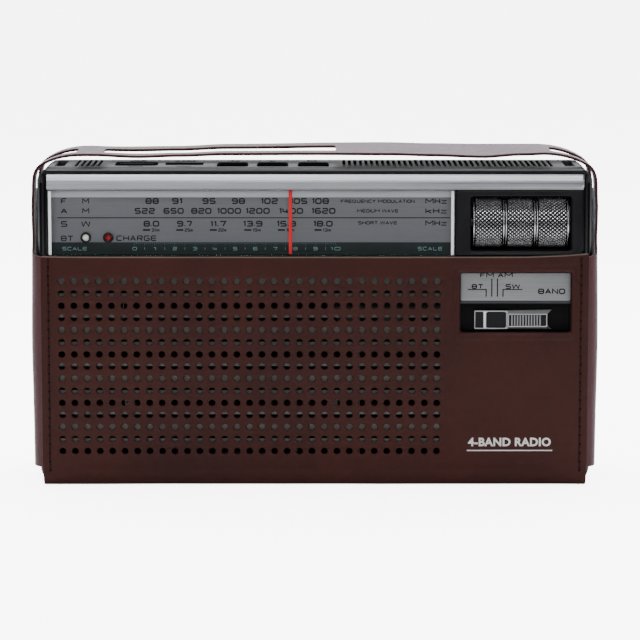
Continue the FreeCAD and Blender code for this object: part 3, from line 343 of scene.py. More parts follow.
M = {
    "wrap": leather("wrap_leather", srgb(45, 16, 12), srgb(56, 21, 16), 1.0, 0.50, True, 0.24),
    # The band's last colour is painted sheen: the lighter mauve-grey its gussets take below the strap's
    # corners.
    "band": leather("band_leather", srgb(54, 26, 29), srgb(68, 36, 41), 1.0, 0.46, True, 0.18, 0.5, 0.5,
                    srgb(76, 50, 53)),
    "edge": leather("leather_edge", srgb(48, 22, 20), srgb(64, 32, 29), 0.6, 0.75, False),
    "cut_edge": leather("pale_cut_edge", srgb(88, 74, 68), srgb(108, 92, 84), 0.6, 0.7, False),
    "thread": thread("dark_thread", srgb(40, 18, 15)),
    "black": plastic("cabinet_black", srgb(10, 10, 13), 0.34, 0.22, shine=0.14),
    "black_fine": plastic("bezel_black", srgb(14, 14, 17), 0.36, 0.10, shine=0.2),
    # Near-black with almost no shine, darker than the cabinet's plastic: painted shade for recess and
    # channel linings, needle holes, under the vents, the shadow line over the front bar and the speaker
    # basket.
    "deep": plastic("recess_painted_shade", srgb(5, 5, 6), 0.55, 0.1, shine=0.08),
    "deck": brushed("deck_metal", srgb(66, 66, 71), 0.45, (0.03, 1, 1), 0.10, 0.10, shine=0.12),
    "nose": brushed("nose_metal", srgb(24, 25, 29), 0.40, (0.03, 1, 1), 0.10, 0.10, shine=0.12),
    "trim": brushed("trim_metal", srgb(176, 179, 185), 0.36, (0.015, 1, 1), 0.07),
    "plate": brushed("plate_metal", srgb(130, 131, 133), 0.42, (0.03, 1, 1), 0.10, 0.6),
    "grille": brushed("grille_metal", srgb(112, 110, 106), 0.46, (0.05, 1, 1), 0.10, 0.55),
    "knurl": knurled("wheel_knurl"),
    "knob_frame": brushed("knob_plating", srgb(168, 169, 172), 0.34, (0.1, 1, 1), 0.08, 0.45),
    # The same satin plating, darker: painted shade for the front bar's foot and the knob's sloping sides.
    "knob_side": brushed("knob_side", srgb(132, 133, 136), 0.38, (0.05, 1, 1), 0.10, 0.45),
    "key": plastic("key_black", srgb(7, 7, 9), 0.6, 0.15, shine=0.0),
    # Near-white strips in the window's side edges: painted highlight for the light the acrylic's edges
    # refract.
    "glow": plastic("edge_painted_light", srgb(236, 240, 241), 0.3, 0.05),
    "rib": brushed("knob_ribs", srgb(160, 161, 164), 0.35, (1, 1, 0.05), 0.1, 0.8),
    "aerial": chrome("aerial_chrome", (0.68, 0.68, 0.70, 1), 0.10),
    "steel": brushed("zinc_steel", srgb(168, 168, 166), 0.38, (1, 1, 1), 0.1),
    "scale": dial_print(),
    "lens": clear("clear_acrylic"),
    "ink": plastic("dial_ink", srgb(10, 11, 13), 0.5, 0.05, shine=0.2),
    "ink_pale": plastic("dial_ink_pale", srgb(92, 124, 122), 0.5, 0.05, shine=0.2),
    "ink_white": plastic("index_white", srgb(225, 225, 222), 0.5, 0.05),
    "foil": brushed("case_lettering", srgb(206, 204, 202), 0.34, (1, 1, 1), 0.15, 0.6),
    "pointer": plastic("pointer_red", srgb(200, 20, 25), 0.32, 0.06),
    "lamp_white": plastic("lamp_milky", srgb(214, 214, 208), 0.25, 0.04),
    "lamp_red": plastic("lamp_ruby", srgb(118, 12, 14), 0.16, 0.04),
    "board": board("printed_board"),
    "copper": brushed("copper_wire", srgb(170, 96, 52), 0.34, (1, 0.03, 0.03), 0.3),
    "brass": brushed("nickel_brass", srgb(196, 188, 160), 0.28, (1, 1, 1), 0.1),
    "ferrite": plastic("ferrite", srgb(44, 43, 44), 0.6, 0.5),
    "paper": plastic("cone_paper", srgb(38, 36, 34), 0.85, 0.9, 1800),
    "inner": plastic("inner_plastic", srgb(58, 58, 60), 0.5, 0.2),
    "cord": thread("dial_cord", srgb(170, 160, 138)),
    "jacket": brushed("cell_jacket", srgb(52, 66, 98), 0.35, (0.05, 1, 1), 0.08, 0.4),
    "floor": floor_material(),
}

CAD_LOOKS = {
    "steel": "cabinet_screws twin_control wheel_bracket speaker_screws board_coils usb_port card_slot",
    "black": "battery_door battery_tray front_cabinet rear_cabinet",
    "black_fine": "lamp_bezels power_inlet",
    # The speaker basket takes the near-black of painted shade, so that it reads dark behind the grille.
    "deep": "speaker_basket",
    "inner": "band_switch cord_drum tuning_capacitor board_capacitors ferrite_clips key_switches"
             " pulley_upper_right pulley_upper_left pulley_lower_right",
    "grille": "speaker_grille",
    "scale": "dial_scale",
    "cord": "dial_cord",
    "pointer": "dial_pointer",
    "paper": "speaker_cone",
    "ferrite": "speaker_magnet ferrite_rod power_transformer",
    "board": "main_board audio_board",
    "copper": "ferrite_coils",
    "brass": "headphone_jack battery_contacts",
    "jacket": "cell_lower cell_upper",
    "lamp_white": "bluetooth_lamp",
    "lamp_red": "charge_lamp",
    "aerial": "aerial_swivel aerial_section_1 aerial_section_2 aerial_section_3 aerial_section_4"
              " aerial_section_5 aerial_tip",
}
EASED_NODES = ("front_cabinet", "rear_cabinet", "battery_door")
CAD_EASE = 0.25


def dress_cad():
    """Give the CAD nodes that stay in sight their materials."""
    for look, nodes in CAD_LOOKS.items():
        for node in nodes.split():
            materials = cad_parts[node].data.materials
            materials.clear()
            materials.append(M[look])


def ease_cad():
    """Round the sharp edges of the large mouldings."""
    for node in EASED_NODES:
        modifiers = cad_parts[node].modifiers
        weld = modifiers.new("weld", "WELD")
        weld.merge_threshold = 0.000002
        flat = modifiers.new("flat", "DECIMATE")
        flat.decimate_type = "DISSOLVE"
        flat.angle_limit = math.radians(1.5)
        ease = modifiers.new("ease", "BEVEL")
        ease.width = CAD_EASE * MM
        ease.segments = 2
        ease.limit_method = "ANGLE"
        ease.angle_limit = math.radians(40)
        ease.harden_normals = False


# ---- Mesh helpers -------------------------------------------------------------------------------------
def add(name, verts, faces, looks, body="receiver", angle=32, replaces=(), slot="cabinet_plastic",
        indices=None, ease=0):
    """A mesh from millimetre points, in its place, riding on a body.

    `angle` is where an edge starts to look sharp, `indices` says which look each face has when there are
    several, and `ease` rounds the edges by that many millimetres.
    """
    mesh = bpy.data.meshes.new(name)
    mesh.from_pydata([tuple(c * MM for c in v) for v in verts], [], faces)
    for look in [looks] if isinstance(looks, str) else looks:
        mesh.materials.append(M[look])
    if indices:
        mesh.polygons.foreach_set("material_index", indices)
    mesh.validate()
    mesh.shade_smooth()
    mesh.set_sharp_from_angle(angle=math.radians(angle))
    obj = bpy.data.objects.new(name, mesh)
    bpy.context.scene.collection.objects.link(obj)
    if ease:
        bevel = obj.modifiers.new("ease", "BEVEL")
        bevel.width = ease * MM
        bevel.segments = 3
        bevel.limit_method = "ANGLE"
        bevel.angle_limit = math.radians(35)
    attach(obj, body)
    if replaces:
        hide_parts(*replaces)


def mirrored(points):
    """The other half of an outline that is alike on both sides."""
    return [(-u, v) for u, v in reversed(points)]


def block(x0, x1, y0, y1, z0, z1):
    """A box between two corners."""
    verts = [(x, y, z) for x in (x0, x1) for y in (y0, y1) for z in (z0, z1)]
    faces = [(0, 1, 3, 2), (4, 6, 7, 5), (0, 4, 5, 1), (2, 3, 7, 6), (0, 2, 6, 4), (1, 5, 7, 3)]
    return verts, faces


def merge(pieces):
    """Several meshes as one."""
    verts, faces = [], []
    for v, f in pieces:
        start = len(verts)
        verts += v
        faces += [tuple(i + start for i in face) for face in f]
    return verts, faces


def rounded(x0, x1, z0, z1, radius, steps):
    """Corner points of a rounded rectangle, anticlockwise."""
    points = []
    for cx, cz, start in ((x1 - radius, z0 + radius, -90), (x1 - radius, z1 - radius, 0),
                          (x0 + radius, z1 - radius, 90), (x0 + radius, z0 + radius, 180)):
        for i in range(steps + 1):
            a = math.radians(start + 90 * i / steps)
            points.append((cx + radius * math.cos(a), cz + radius * math.sin(a)))
    return points


def opening(*shape):
    """A rounded rectangle, clockwise, for a hole."""
    return list(reversed(rounded(*shape)))


def ring(x, z, radius, steps):
    """Points of a circle, clockwise, for a hole."""
    angles = [-2 * math.pi * i / steps for i in range(steps)]
    return [(x + radius * math.cos(a), z + radius * math.sin(a)) for a in angles]


def panel(outline, holes, thickness, edge, cuts_u=(), cuts_v=()):
    """A flat plate with eased edges in the plane of its outline, cut across where it will bend.

    Gives its points, faces and face normals.
    """
    curve = bpy.data.curves.new("outline", "CURVE")
    curve.dimensions = "2D"
    curve.fill_mode = "BOTH"
    curve.extrude = thickness / 2 - edge
    curve.bevel_depth = edge
    curve.bevel_resolution = 1 if edge < 0.3 else 3
    curve.offset = -edge
    for points in [outline] + list(holes):
        spline = curve.splines.new("POLY")
        spline.points.add(len(points) - 1)
        for point, (u, v) in zip(spline.points, points):
            point.co = (u, v, 0, 1)
        spline.use_cyclic_u = True
    holder = bpy.data.objects.new("outline", curve)
    bpy.context.scene.collection.objects.link(holder)
    bpy.context.view_layer.update()
    mesh = bpy.data.meshes.new_from_object(holder.evaluated_get(bpy.context.evaluated_depsgraph_get()))
    bm = bmesh.new()
    bm.from_mesh(mesh)
    bpy.data.objects.remove(holder)
    bmesh.ops.remove_doubles(bm, verts=bm.verts, dist=0.0005)
    for normal, cuts in ((Vector((1, 0, 0)), cuts_u), (Vector((0, 1, 0)), cuts_v)):
        for place in cuts:
            geometry = bm.verts[:] + bm.edges[:] + bm.faces[:]
            bmesh.ops.bisect_plane(bm, geom=geometry, plane_co=normal * place, plane_no=normal, dist=0.0001)
    bmesh.ops.recalc_face_normals(bm, faces=bm.faces)
    bm.normal_update()
    bm.verts.index_update()
    verts = [tuple(v.co) for v in bm.verts]
    faces = [tuple(v.index for v in f.verts) for f in bm.faces]
    normals = [tuple(f.normal) for f in bm.faces]
    bm.free()
    bpy.data.meshes.remove(mesh)
    return verts, faces, normals


def front_plate(outline, holes, thickness, edge, y):
    """A plate that faces the front, with the middle of its thickness at y."""
    verts, faces, _ = panel(outline, holes, thickness, edge)
    return [(u, y - w, v) for u, v, w in verts], [tuple(reversed(f)) for f in faces]


def level_plate(outline, holes, thickness, edge, z):
    """A plate that faces up, with the middle of its thickness at z."""
    verts, faces, _ = panel(outline, holes, thickness, edge)
    return [(u, v, z + w) for u, v, w in verts], faces


def steps(start, end, pitch):
    """Evenly spaced places from start to end, about a pitch apart."""
    count = max(1, round(abs(end - start) / pitch))
    return [start + (end - start) * i / count for i in range(count + 1)]


def tube(path, radius, sides):
    """A round cord along a list of points, closed at both ends."""
    verts, faces = [], []
    count = len(path)
    for i, p in enumerate(path):
        along = (Vector(path[min(i + 1, count - 1)]) - Vector(path[max(i - 1, 0)])).normalized()
        side = along.cross(UP if abs(along.z) < 0.9 else Vector((1, 0, 0))).normalized()
        other = along.cross(side)
        for k in range(sides):
            a = 2 * math.pi * k / sides
            verts.append(tuple(Vector(p) + side * radius * math.cos(a) + other * radius * math.sin(a)))
    for i in range(count - 1):
        for k in range(sides):
            a, b = i * sides + k, i * sides + (k + 1) % sides
            faces.append((a, b, b + sides, a + sides))
    faces.append(tuple(range(sides - 1, -1, -1)))
    faces.append(tuple((count - 1) * sides + k for k in range(sides)))
    return verts, faces


def stitch(centre, along, out):
    """One stitch: a short thread that dips into the leather at both ends."""
    length, radius = 2.9, 0.36
    centre, along, out = Vector(centre), Vector(along).normalized(), Vector(out).normalized()
    path = []
    for t in (-1, -0.82, -0.45, 0, 0.45, 0.82, 1):
        lift = 0.16 * math.cos(t * math.pi / 2) - 0.42 * abs(t) ** 5
        path.append(tuple(centre + along * (t * length / 2) + out * lift))
    return tube(path, radius, 8)


def prism_faces(n):
    """Faces of a solid whose points are two copies of an n-sided profile."""
    faces = [(i, (i + 1) % n, n + (i + 1) % n, n + i) for i in range(n)]
    return faces + [tuple(range(n - 1, -1, -1)), tuple(range(n, 2 * n))]


def extrude_x(profile, x0, x1):
    """A solid whose y-z profile runs along X."""
    return [(x, y, z) for x in (x0, x1) for y, z in profile], prism_faces(len(profile))


def extrude_z(profile, z0, z1):
    """A solid whose x-y profile runs along Z."""
    return [(x, y, z) for z in (z0, z1) for x, y in profile], prism_faces(len(profile))


def raised_words(text, x, z, size, y, width):
    """Words in relief on a face that looks to the front, centred at x and z and stretched to a width."""
    curve = bpy.data.curves.new("print", "FONT")
    curve.body = text
    curve.size = size
    curve.align_x = "CENTER"
    curve.align_y = "CENTER"
    curve.space_character = 1.05
    curve.extrude = 0.05
    curve.resolution_u = 3
    curve.offset = 0.16
    holder = bpy.data.objects.new("print", curve)
    bpy.context.scene.collection.objects.link(holder)
    bpy.context.view_layer.update()
    mesh = bpy.data.meshes.new_from_object(holder.evaluated_get(bpy.context.evaluated_depsgraph_get()))
    across = [v.co.x for v in mesh.vertices]
    wide = width / (max(across) - min(across))
    verts = [(x + v.co.x * wide, y - v.co.z, z + v.co.y) for v in mesh.vertices]
    faces = [tuple(p.vertices) for p in mesh.polygons]
    bpy.data.objects.remove(holder)
    bpy.data.meshes.remove(mesh)
    return verts, faces


# Strokes of each character on a grid four wide and six high; a bar parts separate strokes.
GLYPHS = {
    "0": "00 40 46 06 00", "1": "05 16 10", "2": "06 46 43 03 00 40", "3": "06 46 40 00|13 43",
    "4": "06 02 42|35 30", "5": "46 06 03 43 40 00", "6": "46 06 00 40 43 03", "7": "06 46 20",
    "8": "00 40 46 06 00|03 43", "9": "43 03 06 46 40 00", ".": "00 01", "A": "00 26 40|12 32",
    "B": "00 06 46 40 00|03 43", "C": "46 06 00 40", "D": "00 06 36 45 41 30 00", "E": "46 06 00 40|03 43",
    "F": "00 06 46|03 33", "G": "46 06 00 40 43 23", "H": "00 06|40 46|03 43", "I": "00 06",
    "L": "06 00 40", "M": "00 06 32 66 60", "N": "00 06 40 46", "O": "00 40 46 06 00",
    "Q": "00 40 46 06 00|31 50", "R": "00 06 46 43 03|23 40", "S": "46 06 03 43 40 00", "T": "06 46|26 20",
    "U": "06 00 40 46", "V": "06 20 46", "W": "06 10 36 50 66", "Y": "06 23 46|23 20",
    "k": "06 00|44 02|13 40", "m": "00 04 44 40|24 20", "z": "04 44 00 40",
}


def soften(points, radius):
    """Round the near-square corners of a line of 2-D points."""
    closed = points[0] == points[-1]
    if closed:
        points = points[:-1]
    out = []
    for i, point in enumerate(points):
        if not closed and i in (0, len(points) - 1):
            out.append(point)
            continue
        before = point - points[i - 1]
        after = points[(i + 1) % len(points)] - point
        reach = min(radius, before.length / 2.2, after.length / 2.2)
        before, after = before.normalized(), after.normalized()
        if abs(before.dot(after)) < 0.5:
            out += [point - before * reach, point + (after - before) * 0.293 * reach, point + after * reach]
        else:
            out.append(point)
    return out, closed


def stroke(points, closed, weight, y):
    """A printed line of the given weight through 2-D points, a hair thick."""
    count = len(points)
    verts = []
    for i, point in enumerate(points):
        ahead = points[(i + 1) % count] if closed or i < count - 1 else point
        behind = points[i - 1] if closed or i else point
        before = (point - behind).normalized() if point != behind else (ahead - point).normalized()
        after = (ahead - point).normalized() if ahead != point else before
        across = Vector((-before.y - after.y, before.x + after.x)).normalized()
        reach = weight / 2 / max(across.dot(Vector((-after.y, after.x))), 0.55)
        for side in (1, -1):
            edge = (point.x + across.x * reach * side, point.y + across.y * reach * side)
            verts += [(edge[0], y + depth, edge[1]) for depth in (-0.02, 0.02)]
    faces = []
    for i in range(count if closed else count - 1):
        a, b = 4 * i, 4 * ((i + 1) % count)
        faces += [(a, b, b + 2, a + 2), (a + 1, a + 3, b + 3, b + 1),
                  (a, a + 1, b + 1, b), (a + 2, b + 2, b + 3, a + 3)]
    if not closed:
        last = 4 * (count - 1)
        faces += [(0, 2, 3, 1), (last, last + 1, last + 3, last + 2)]
    return verts, faces


def printed(text, x, z, height, fit, y, weight):
    """Square-cornered printed figures and capitals, centred at x and z and `fit` wide."""
    lines, cursor = [], 0.0
    for letter in text:
        if letter == " ":
            cursor += 2.5
            continue
        marks = [[(int(a), int(b)) for a, b in part.split()] for part in GLYPHS[letter].split("|")]
        lines += [[(cursor + a, b) for a, b in mark] for mark in marks]
        cursor += max(a for mark in marks for a, b in mark) + 1.6
    wide, tall = (fit - weight) / (cursor - 1.6 or 1.0), (height - weight) / 6
    pieces = []
    for line in lines:
        points = [Vector((x - (fit - weight) / 2 + a * wide, z + (b - 3) * tall)) for a, b in line]
        pieces.append(stroke(*soften(points, 0.22 * height), weight, y))
    return merge(pieces)


# ---- Leather wrap -------------------------------------------------------------------------------------
FRONT_RUN = WRAP_TOP - WRAP_BEND
BEND_RUN = math.pi / 2 * (WRAP_BEND - WRAP_T / 2)
FLAT_RUN = 2 * (WRAP_DEPTH - WRAP_BEND)
BACK_RUN = WRAP_BACK_TOP - WRAP_BEND
S_BOTTOM = FRONT_RUN + BEND_RUN
S_BACK = S_BOTTOM + FLAT_RUN + BEND_RUN
S_END = S_BACK + BACK_RUN


def wrap_place(u, s, n):
    """Point of the wrap: u across, s down the front, under and up the back, n out of the mid-thickness."""
    mid = WRAP_DEPTH - WRAP_T / 2
    r = WRAP_BEND - WRAP_T / 2
    if s <= FRONT_RUN:
        y, z, ny, nz = -mid, WRAP_TOP - s, -1.0, 0.0
    elif s <= S_BOTTOM:
        a = (s - FRONT_RUN) / r
        ny, nz = -math.cos(a), -math.sin(a)
        y, z = -(WRAP_DEPTH - WRAP_BEND) + r * ny, WRAP_BEND + r * nz
    elif s <= S_BOTTOM + FLAT_RUN:
        y, z, ny, nz = -(WRAP_DEPTH - WRAP_BEND) + (s - S_BOTTOM), WRAP_T / 2, 0.0, -1.0
    elif s <= S_BACK:
        a = (s - S_BOTTOM - FLAT_RUN) / r
        ny, nz = math.sin(a), -math.cos(a)
        y, z = (WRAP_DEPTH - WRAP_BEND) + r * ny, WRAP_BEND + r * nz
    else:
        y, z, ny, nz = mid, WRAP_BEND + (s - S_BACK), 1.0, 0.0
    sag = 0.14 * noise.noise(Vector((u * 0.03, s * 0.03, 1.7)))
    if S_BOTTOM < s < S_BOTTOM + FLAT_RUN:
        sag = 0.0
    if s < FRONT_RUN:
        sag -= 0.25 * math.exp(-((s - CREASE_S) / CREASE_W) ** 2) * (0.75 + 0.25 * math.sin(u * 0.35))
        sag += emboss(u, WRAP_TOP - s)
    y += ny * (n + sag)
    z += nz * (n + sag)
    if s < 14:
        z += (1.5 * max(0.0, (u - 84) / 32) ** 2 + 0.3 * max(0.0, (-u - 95) / 22) ** 2) * (1 - s / 14) ** 2
    return u, y, z


def emboss(u, z):
    """Pressed relief of the front: a raised frame round the band window, and a groove beside each seam."""
    dx = abs(u - FRAME_MIDDLE[0]) - FRAME_HALF[0]
    dz = abs(z - FRAME_MIDDLE[1]) - FRAME_HALF[1]
    away = math.hypot(max(dx, 0), max(dz, 0)) + min(max(dx, dz), 0)
    du = abs(u - 85.65) - 23.75
    dv = abs(z - 79.25) - 12.85
    rim = math.hypot(max(du, 0), max(dv, 0)) + min(max(du, dv), 0)
    roll = min(max(1.0 - rim / 1.3, 0.0), 1.0)
    lift = -0.55 * roll ** 2
    lift -= 0.30 * math.exp(-((away - 1.6) / 0.55) ** 2)
    lift += 0.12 * math.exp(-((away - 0.2) / 0.8) ** 2)
    seam = abs(abs(u) - SEAM_X)
    lift -= 0.22 * math.exp(-(seam / 0.75) ** 2) if z > 6 else 0
    return lift


def leather_wrap():
    """Front, bottom and back as one sheet, cut out flat with its perforations and openings, then folded."""
    low, middle = 116.3, 116.5
    back = [(-low, S_BOTTOM - 1), (-low, S_BOTTOM + FLAT_RUN + 1), (-middle, S_BACK + 1.5),
            (-WRAP_X, S_BACK + 6)]
    for turn in range(0, 91, 15):
        a = math.radians(turn)
        back.append((-WRAP_X + 8 - 8 * math.cos(a), S_END - 8 + 8 * math.sin(a)))
    front = [(-WRAP_X + 1.2, 0), (-WRAP_X + 0.4, 0.3), (-WRAP_X, 1.2), (-WRAP_X, FRONT_RUN - 6),
             (-middle, FRONT_RUN - 1.5)]
    outline = back + mirrored(back) + mirrored(front) + front
    outline.reverse()
    holes = [
        ring(HOLE_START[0] + i * HOLE_PITCH[0], WRAP_TOP - HOLE_START[1] - j * HOLE_PITCH[1], HOLE_R, 18)
        for i in range(HOLES[0]) for j in range(HOLES[1])
    ]
    up = S_BACK - WRAP_BEND
    holes.append(opening(61.9, 109.4, WRAP_TOP - 92.1, WRAP_TOP - 66.4, 1.5, 4))
    holes.append(opening(39.8, 105.2, up + 6.8, up + 73.2, 2, 4))
    holes.append(opening(-106.5, -83.5, up + 56.5, up + 93.0, 2, 4))
    cuts_u = [s * (SEAM_X + d) for s in (-1, 1) for d in (-1.6, -0.9, -0.45, 0, 0.45, 0.9, 1.6)]
    cuts_u += [FRAME_MIDDLE[0] + s * (FRAME_HALF[0] + d) for s in (-1, 1) for d in FRAME_CUTS]
    cuts_u += [61.5, 61.1, 109.8, 110.2] + steps(-105, 105, 15)
    frame_v = [WRAP_TOP - FRAME_MIDDLE[1] - s * (FRAME_HALF[1] + d) for s in (-1, 1) for d in FRAME_CUTS]
    frame_v = [v for v in frame_v if v > 0.5] + [WRAP_TOP - z for z in (66.0, 65.6, 65.2, 92.5, 92.9)]
    cuts_v = steps(FRONT_RUN, S_BOTTOM, 0.65) + steps(S_BOTTOM + FLAT_RUN, S_BACK, 0.65)
    cuts_v += [88.0, 89.4, 90.4, 91.0, 91.5, 92.0, 92.6, 93.6] + frame_v + [0.5, 3, 7]
    cuts_v += steps(12, 84, 9) + steps(S_BACK, S_END - 4, 14)
    verts, faces, normals = panel(outline, holes, WRAP_T, 0.22, cuts_u, cuts_v)
    indices = []
    for face, normal in zip(faces, normals):
        top = all(verts[i][1] < 0.55 for i in face)
        indices.append(2 if top else 1 if abs(normal[2]) < 0.35 else 0)
    placed = [wrap_place(u, s, w) for u, s, w in verts]
    add("case_wrap", placed, faces, ["wrap", "edge", "cut_edge"], replaces=("leather_wrap",),
        slot="wrap_leather", indices=indices, angle=50)


def seams():
    """Stitches down both edges of the front and the back, through wrap and gusset."""
    pieces, punched = [], []
    for start, end, out in ((FRONT_RUN - 4.6, 2.5, -1), (S_BACK + 4.6, S_END - 8.5, 1)):
        for side in (-1, 1):
            for s in steps(start, end, STITCH_PITCH):
                u = side * SEAM_X + 0.12 * noise.noise(Vector((s, side * 3.1, out)))
                lean = 0.05 * noise.noise(Vector((s * 2, side, 5)))
                pieces.append(stitch(wrap_place(u, s, WRAP_T / 2), (lean, 0, 1), (0, out, 0)))
                hole = []
                for k in range(12):
                    a, between = math.pi / 6 * k, s + STITCH_PITCH / 2
                    hole.append(wrap_place(u + 0.50 * math.cos(a), between + 0.58 * math.sin(a),
                                           WRAP_T / 2 + 0.07))
                punched.append((hole, [tuple(range(12))]))
    add("case_stitches", *merge(pieces), "thread", slot="wrap_leather", angle=60)
    # The needle holes are near-black discs laid on the leather: painted shade for the holes.
    add("needle_holes", *merge(punched), "deep", slot="wrap_leather")


# ---- Gusset and strap band ----------------------------------------------------------------------------
SIDE_ARC, TOP_ARC, TURN = 11.0, 33.0, math.radians(35)
ARC_Z = STRAP_TOP - TOP_ARC * (1 - math.cos(TURN)) - SIDE_ARC * math.cos(TURN)
BAND_FOOT = 7.8
MID = BAND_T / 2
# Where the level part ends, how long each arc is, and where the straight side starts.
LEVEL = BAND_X - SIDE_ARC + SIDE_ARC * math.sin(TURN) - TOP_ARC * math.sin(TURN)
TOP_RUN = (TOP_ARC - MID) * TURN
SIDE_RUN = (SIDE_ARC - MID) * (math.pi / 2 - TURN)
S_SIDE = LEVEL + TOP_RUN + SIDE_RUN
BAND_FLAT = 22.5
BAND_BEND = 6.0 - MID


def band_line(s):
    """Middle of the band's thickness at s from the middle of the top, and its outward direction."""
    side = 1 if s >= 0 else -1
    s = abs(s)
    if s <= LEVEL:
        x, z, nx, nz = s, STRAP_TOP - MID, 0.0, 1.0
    elif s <= LEVEL + TOP_RUN:
        a = (s - LEVEL) / (TOP_ARC - MID)
        nx, nz = math.sin(a), math.cos(a)
        centre = ARC_Z + SIDE_ARC * math.cos(TURN) - TOP_ARC * math.cos(TURN)
        x, z = LEVEL + (TOP_ARC - MID) * nx, centre + (TOP_ARC - MID) * nz
    elif s <= S_SIDE:
        a = TURN + (s - LEVEL - TOP_RUN) / (SIDE_ARC - MID)
        nx, nz = math.sin(a), math.cos(a)
        x, z = BAND_X - SIDE_ARC + (SIDE_ARC - MID) * nx, ARC_Z + (SIDE_ARC - MID) * nz
    else:
        x, z, nx, nz = BAND_X - MID, ARC_Z - (s - LEVEL - TOP_RUN - SIDE_RUN), 1.0, 0.0
    return side * x, z, side * nx, nz


def band_wave(x, y):
    """How far the level part of the strap rides above or below its drawn height."""
    front = [(-120, 0.3), (-96, -0.8), (-75, -1.65), (-58, -1.1), (-38, -0.4), (8, -0.3), (32, -0.5),
             (50, -0.9), (72, -1.65), (88, -0.6), (100, -0.2), (120, 0.0)]
    back = [(-120, 0.0), (-84, -1.1), (-60, -0.9), (-38, 0.0), (8, 0.6), (32, 0.8), (50, 0.4), (72, 0.1),
            (99, 0.1), (120, 0.0)]

    def follow(table):
        for (x0, v0), (x1, v1) in zip(table, table[1:]):
            if x <= x1:
                t = min(max((x - x0) / (x1 - x0), 0), 1)
                t = t * t * (3 - 2 * t)
                return v0 + (v1 - v0) * t
        return table[-1][1]

    share = (y + 21) / 42
    return follow(front) * (1 - share) + follow(back) * share


def band_place(s, v, n):
    """Point of the band: s along it from the middle of the top, v across, n out of the mid-thickness."""
    x, z, nx, nz = band_line(s)
    y, inward, ny, tilt = v, 0.0, 0.0, 1.0
    if abs(v) > BAND_FLAT:
        a = min((abs(v) - BAND_FLAT) / BAND_BEND, math.pi / 2)
        beyond = max(abs(v) - BAND_FLAT - BAND_BEND * math.pi / 2, 0)
        sign = 1 if v > 0 else -1
        y = sign * (BAND_FLAT + BAND_BEND * math.sin(a))
        inward = BAND_BEND * (1 - math.cos(a)) + beyond
        ny = sign * math.sin(a)
        tilt = math.cos(a)
    lift = 0.10 * noise.noise(Vector((s * 0.035, v * 0.05, 4.2)))
    side = 0.45 + 0.65 * math.exp(-((z - 62) / 30) ** 2)
    if abs(v) < 21:
        side += 0.35 * math.exp(-((z - 117) / 7) ** 2)
    lift += band_wave(x, v) * nz ** 2 + side * (1 - nz) + 1.3 * (2 * nx * nz) ** 2
    depth = n + lift * (1 if abs(v) < 28 else 0)
    return (x + nx * (depth * tilt - inward), y + ny * n, z + nz * depth)


def band():
    """Both gussets and the strap as one sheet, cut out flat with its slots, then bent."""
    foot, front_top, back_top, slot_end = (S_SIDE + (ARC_Z - z) for z in (BAND_FOOT, WRAP_TOP, 122.0, 125.5))
    edge = BAND_FLAT + BAND_BEND * math.pi / 2 + 4.0
    half, shoulder = 21.0, 7.5

    def corner(cx, cy, start, end):
        turns = [math.radians(start + (end - start) * i / 6) for i in range(7)]
        return [(cx + shoulder * math.cos(a), cy + shoulder * math.sin(a)) for a in turns]

    right = (
        [(front_top - shoulder - 20, -half)]
        + corner(front_top - shoulder, -half - shoulder, 90, 0)
        + [(front_top, -edge), (foot - 1.6, -edge), (foot, -edge + 1.6), (foot, edge - 1.6),
           (foot - 1.6, edge), (back_top, edge)]
        + corner(back_top - shoulder, half + shoulder, 0, -90)
        + [(back_top - shoulder - 20, half)]
    )
    holes = [opening(-91.0, 9.0, -11.5, 8.0, 1.6, 5), opening(101.5, slot_end, -11.5, 8.0, 3.0, 5),
             opening(-slot_end, -102.6, -11.5, 8.0, 3.0, 5)]
    cuts_s = steps(LEVEL, S_SIDE, 1.5) + steps(S_SIDE + 3, foot - 3, 6)
    cuts_s = cuts_s + [-s for s in cuts_s] + steps(-LEVEL + 3, LEVEL - 3, 3)
    bends = [s * (BAND_FLAT + BAND_BEND * math.pi / 2 * i / 7) for s in (-1, 1) for i in range(8)]
    bends += [-20, -16, -6, 0, 6, 12, 17]
    verts, faces, normals = panel(right + mirrored(right), holes, BAND_T, 0.45, cuts_s, bends)
    indices = [1 if abs(n[2]) < 0.35 else 0 for n in normals]
    placed = [band_place(u, v, w) for u, v, w in verts]
    add("case_band", placed, faces, ["band", "edge"], replaces=("gusset_strap",), slot="band_leather",
        indices=indices, angle=50)


# ---- Cabinet ------------------------------------------------------------------------------------------
def flank_steps():
    """Vertical steps at both ends of the front, where the shell turns into its sides."""
    pieces = []
    for x, y, top in ((114.9, -28.55, 133.0), (116.6, -27.1, 130.5)):
        for side in (-1, 1):
            a, b = sorted((side * x, side * (x + 0.5)))
            pieces.append(block(a, b, y - 0.35, y + 1.0, 100.0, top))
    add("flank_ribs", *merge(pieces), "black_fine", ease=0.16)


def pod_frame():
    """Dished frame round the thumbwheel well, with a soft lip below."""
    shape = front_plate(rounded(60.2, 113.6, 99.8, 127.0, 0.8, 3),
                        [opening(65.9, 109.4, 101.2, 125.0, 1.6, 5)], 0.7, 0.3, -28.95)
    add("wheel_frame", *shape, "black_fine", angle=40)
    lip = extrude_x([(-29.2, 99.7), (-29.7, 100.0), (-29.7, 100.5), (-29.2, 100.9)], 66.5, 109.5)
    add("wheel_sill", *lip, "black_fine", ease=0.15)
    # The well's lining is near-black: painted shade inside the well.
    walls = merge([block(66.2, 109.2, -27.5, -7.0, 124.2, 124.8),
                   block(66.2, 109.2, -27.5, -7.0, 101.2, 101.6),
                   block(66.2, 66.5, -27.5, -23.0, 101.4, 124.8),
                   block(108.9, 109.2, -27.5, -20.2, 101.4, 124.8)])
    add("well_lining", *walls, "deep")


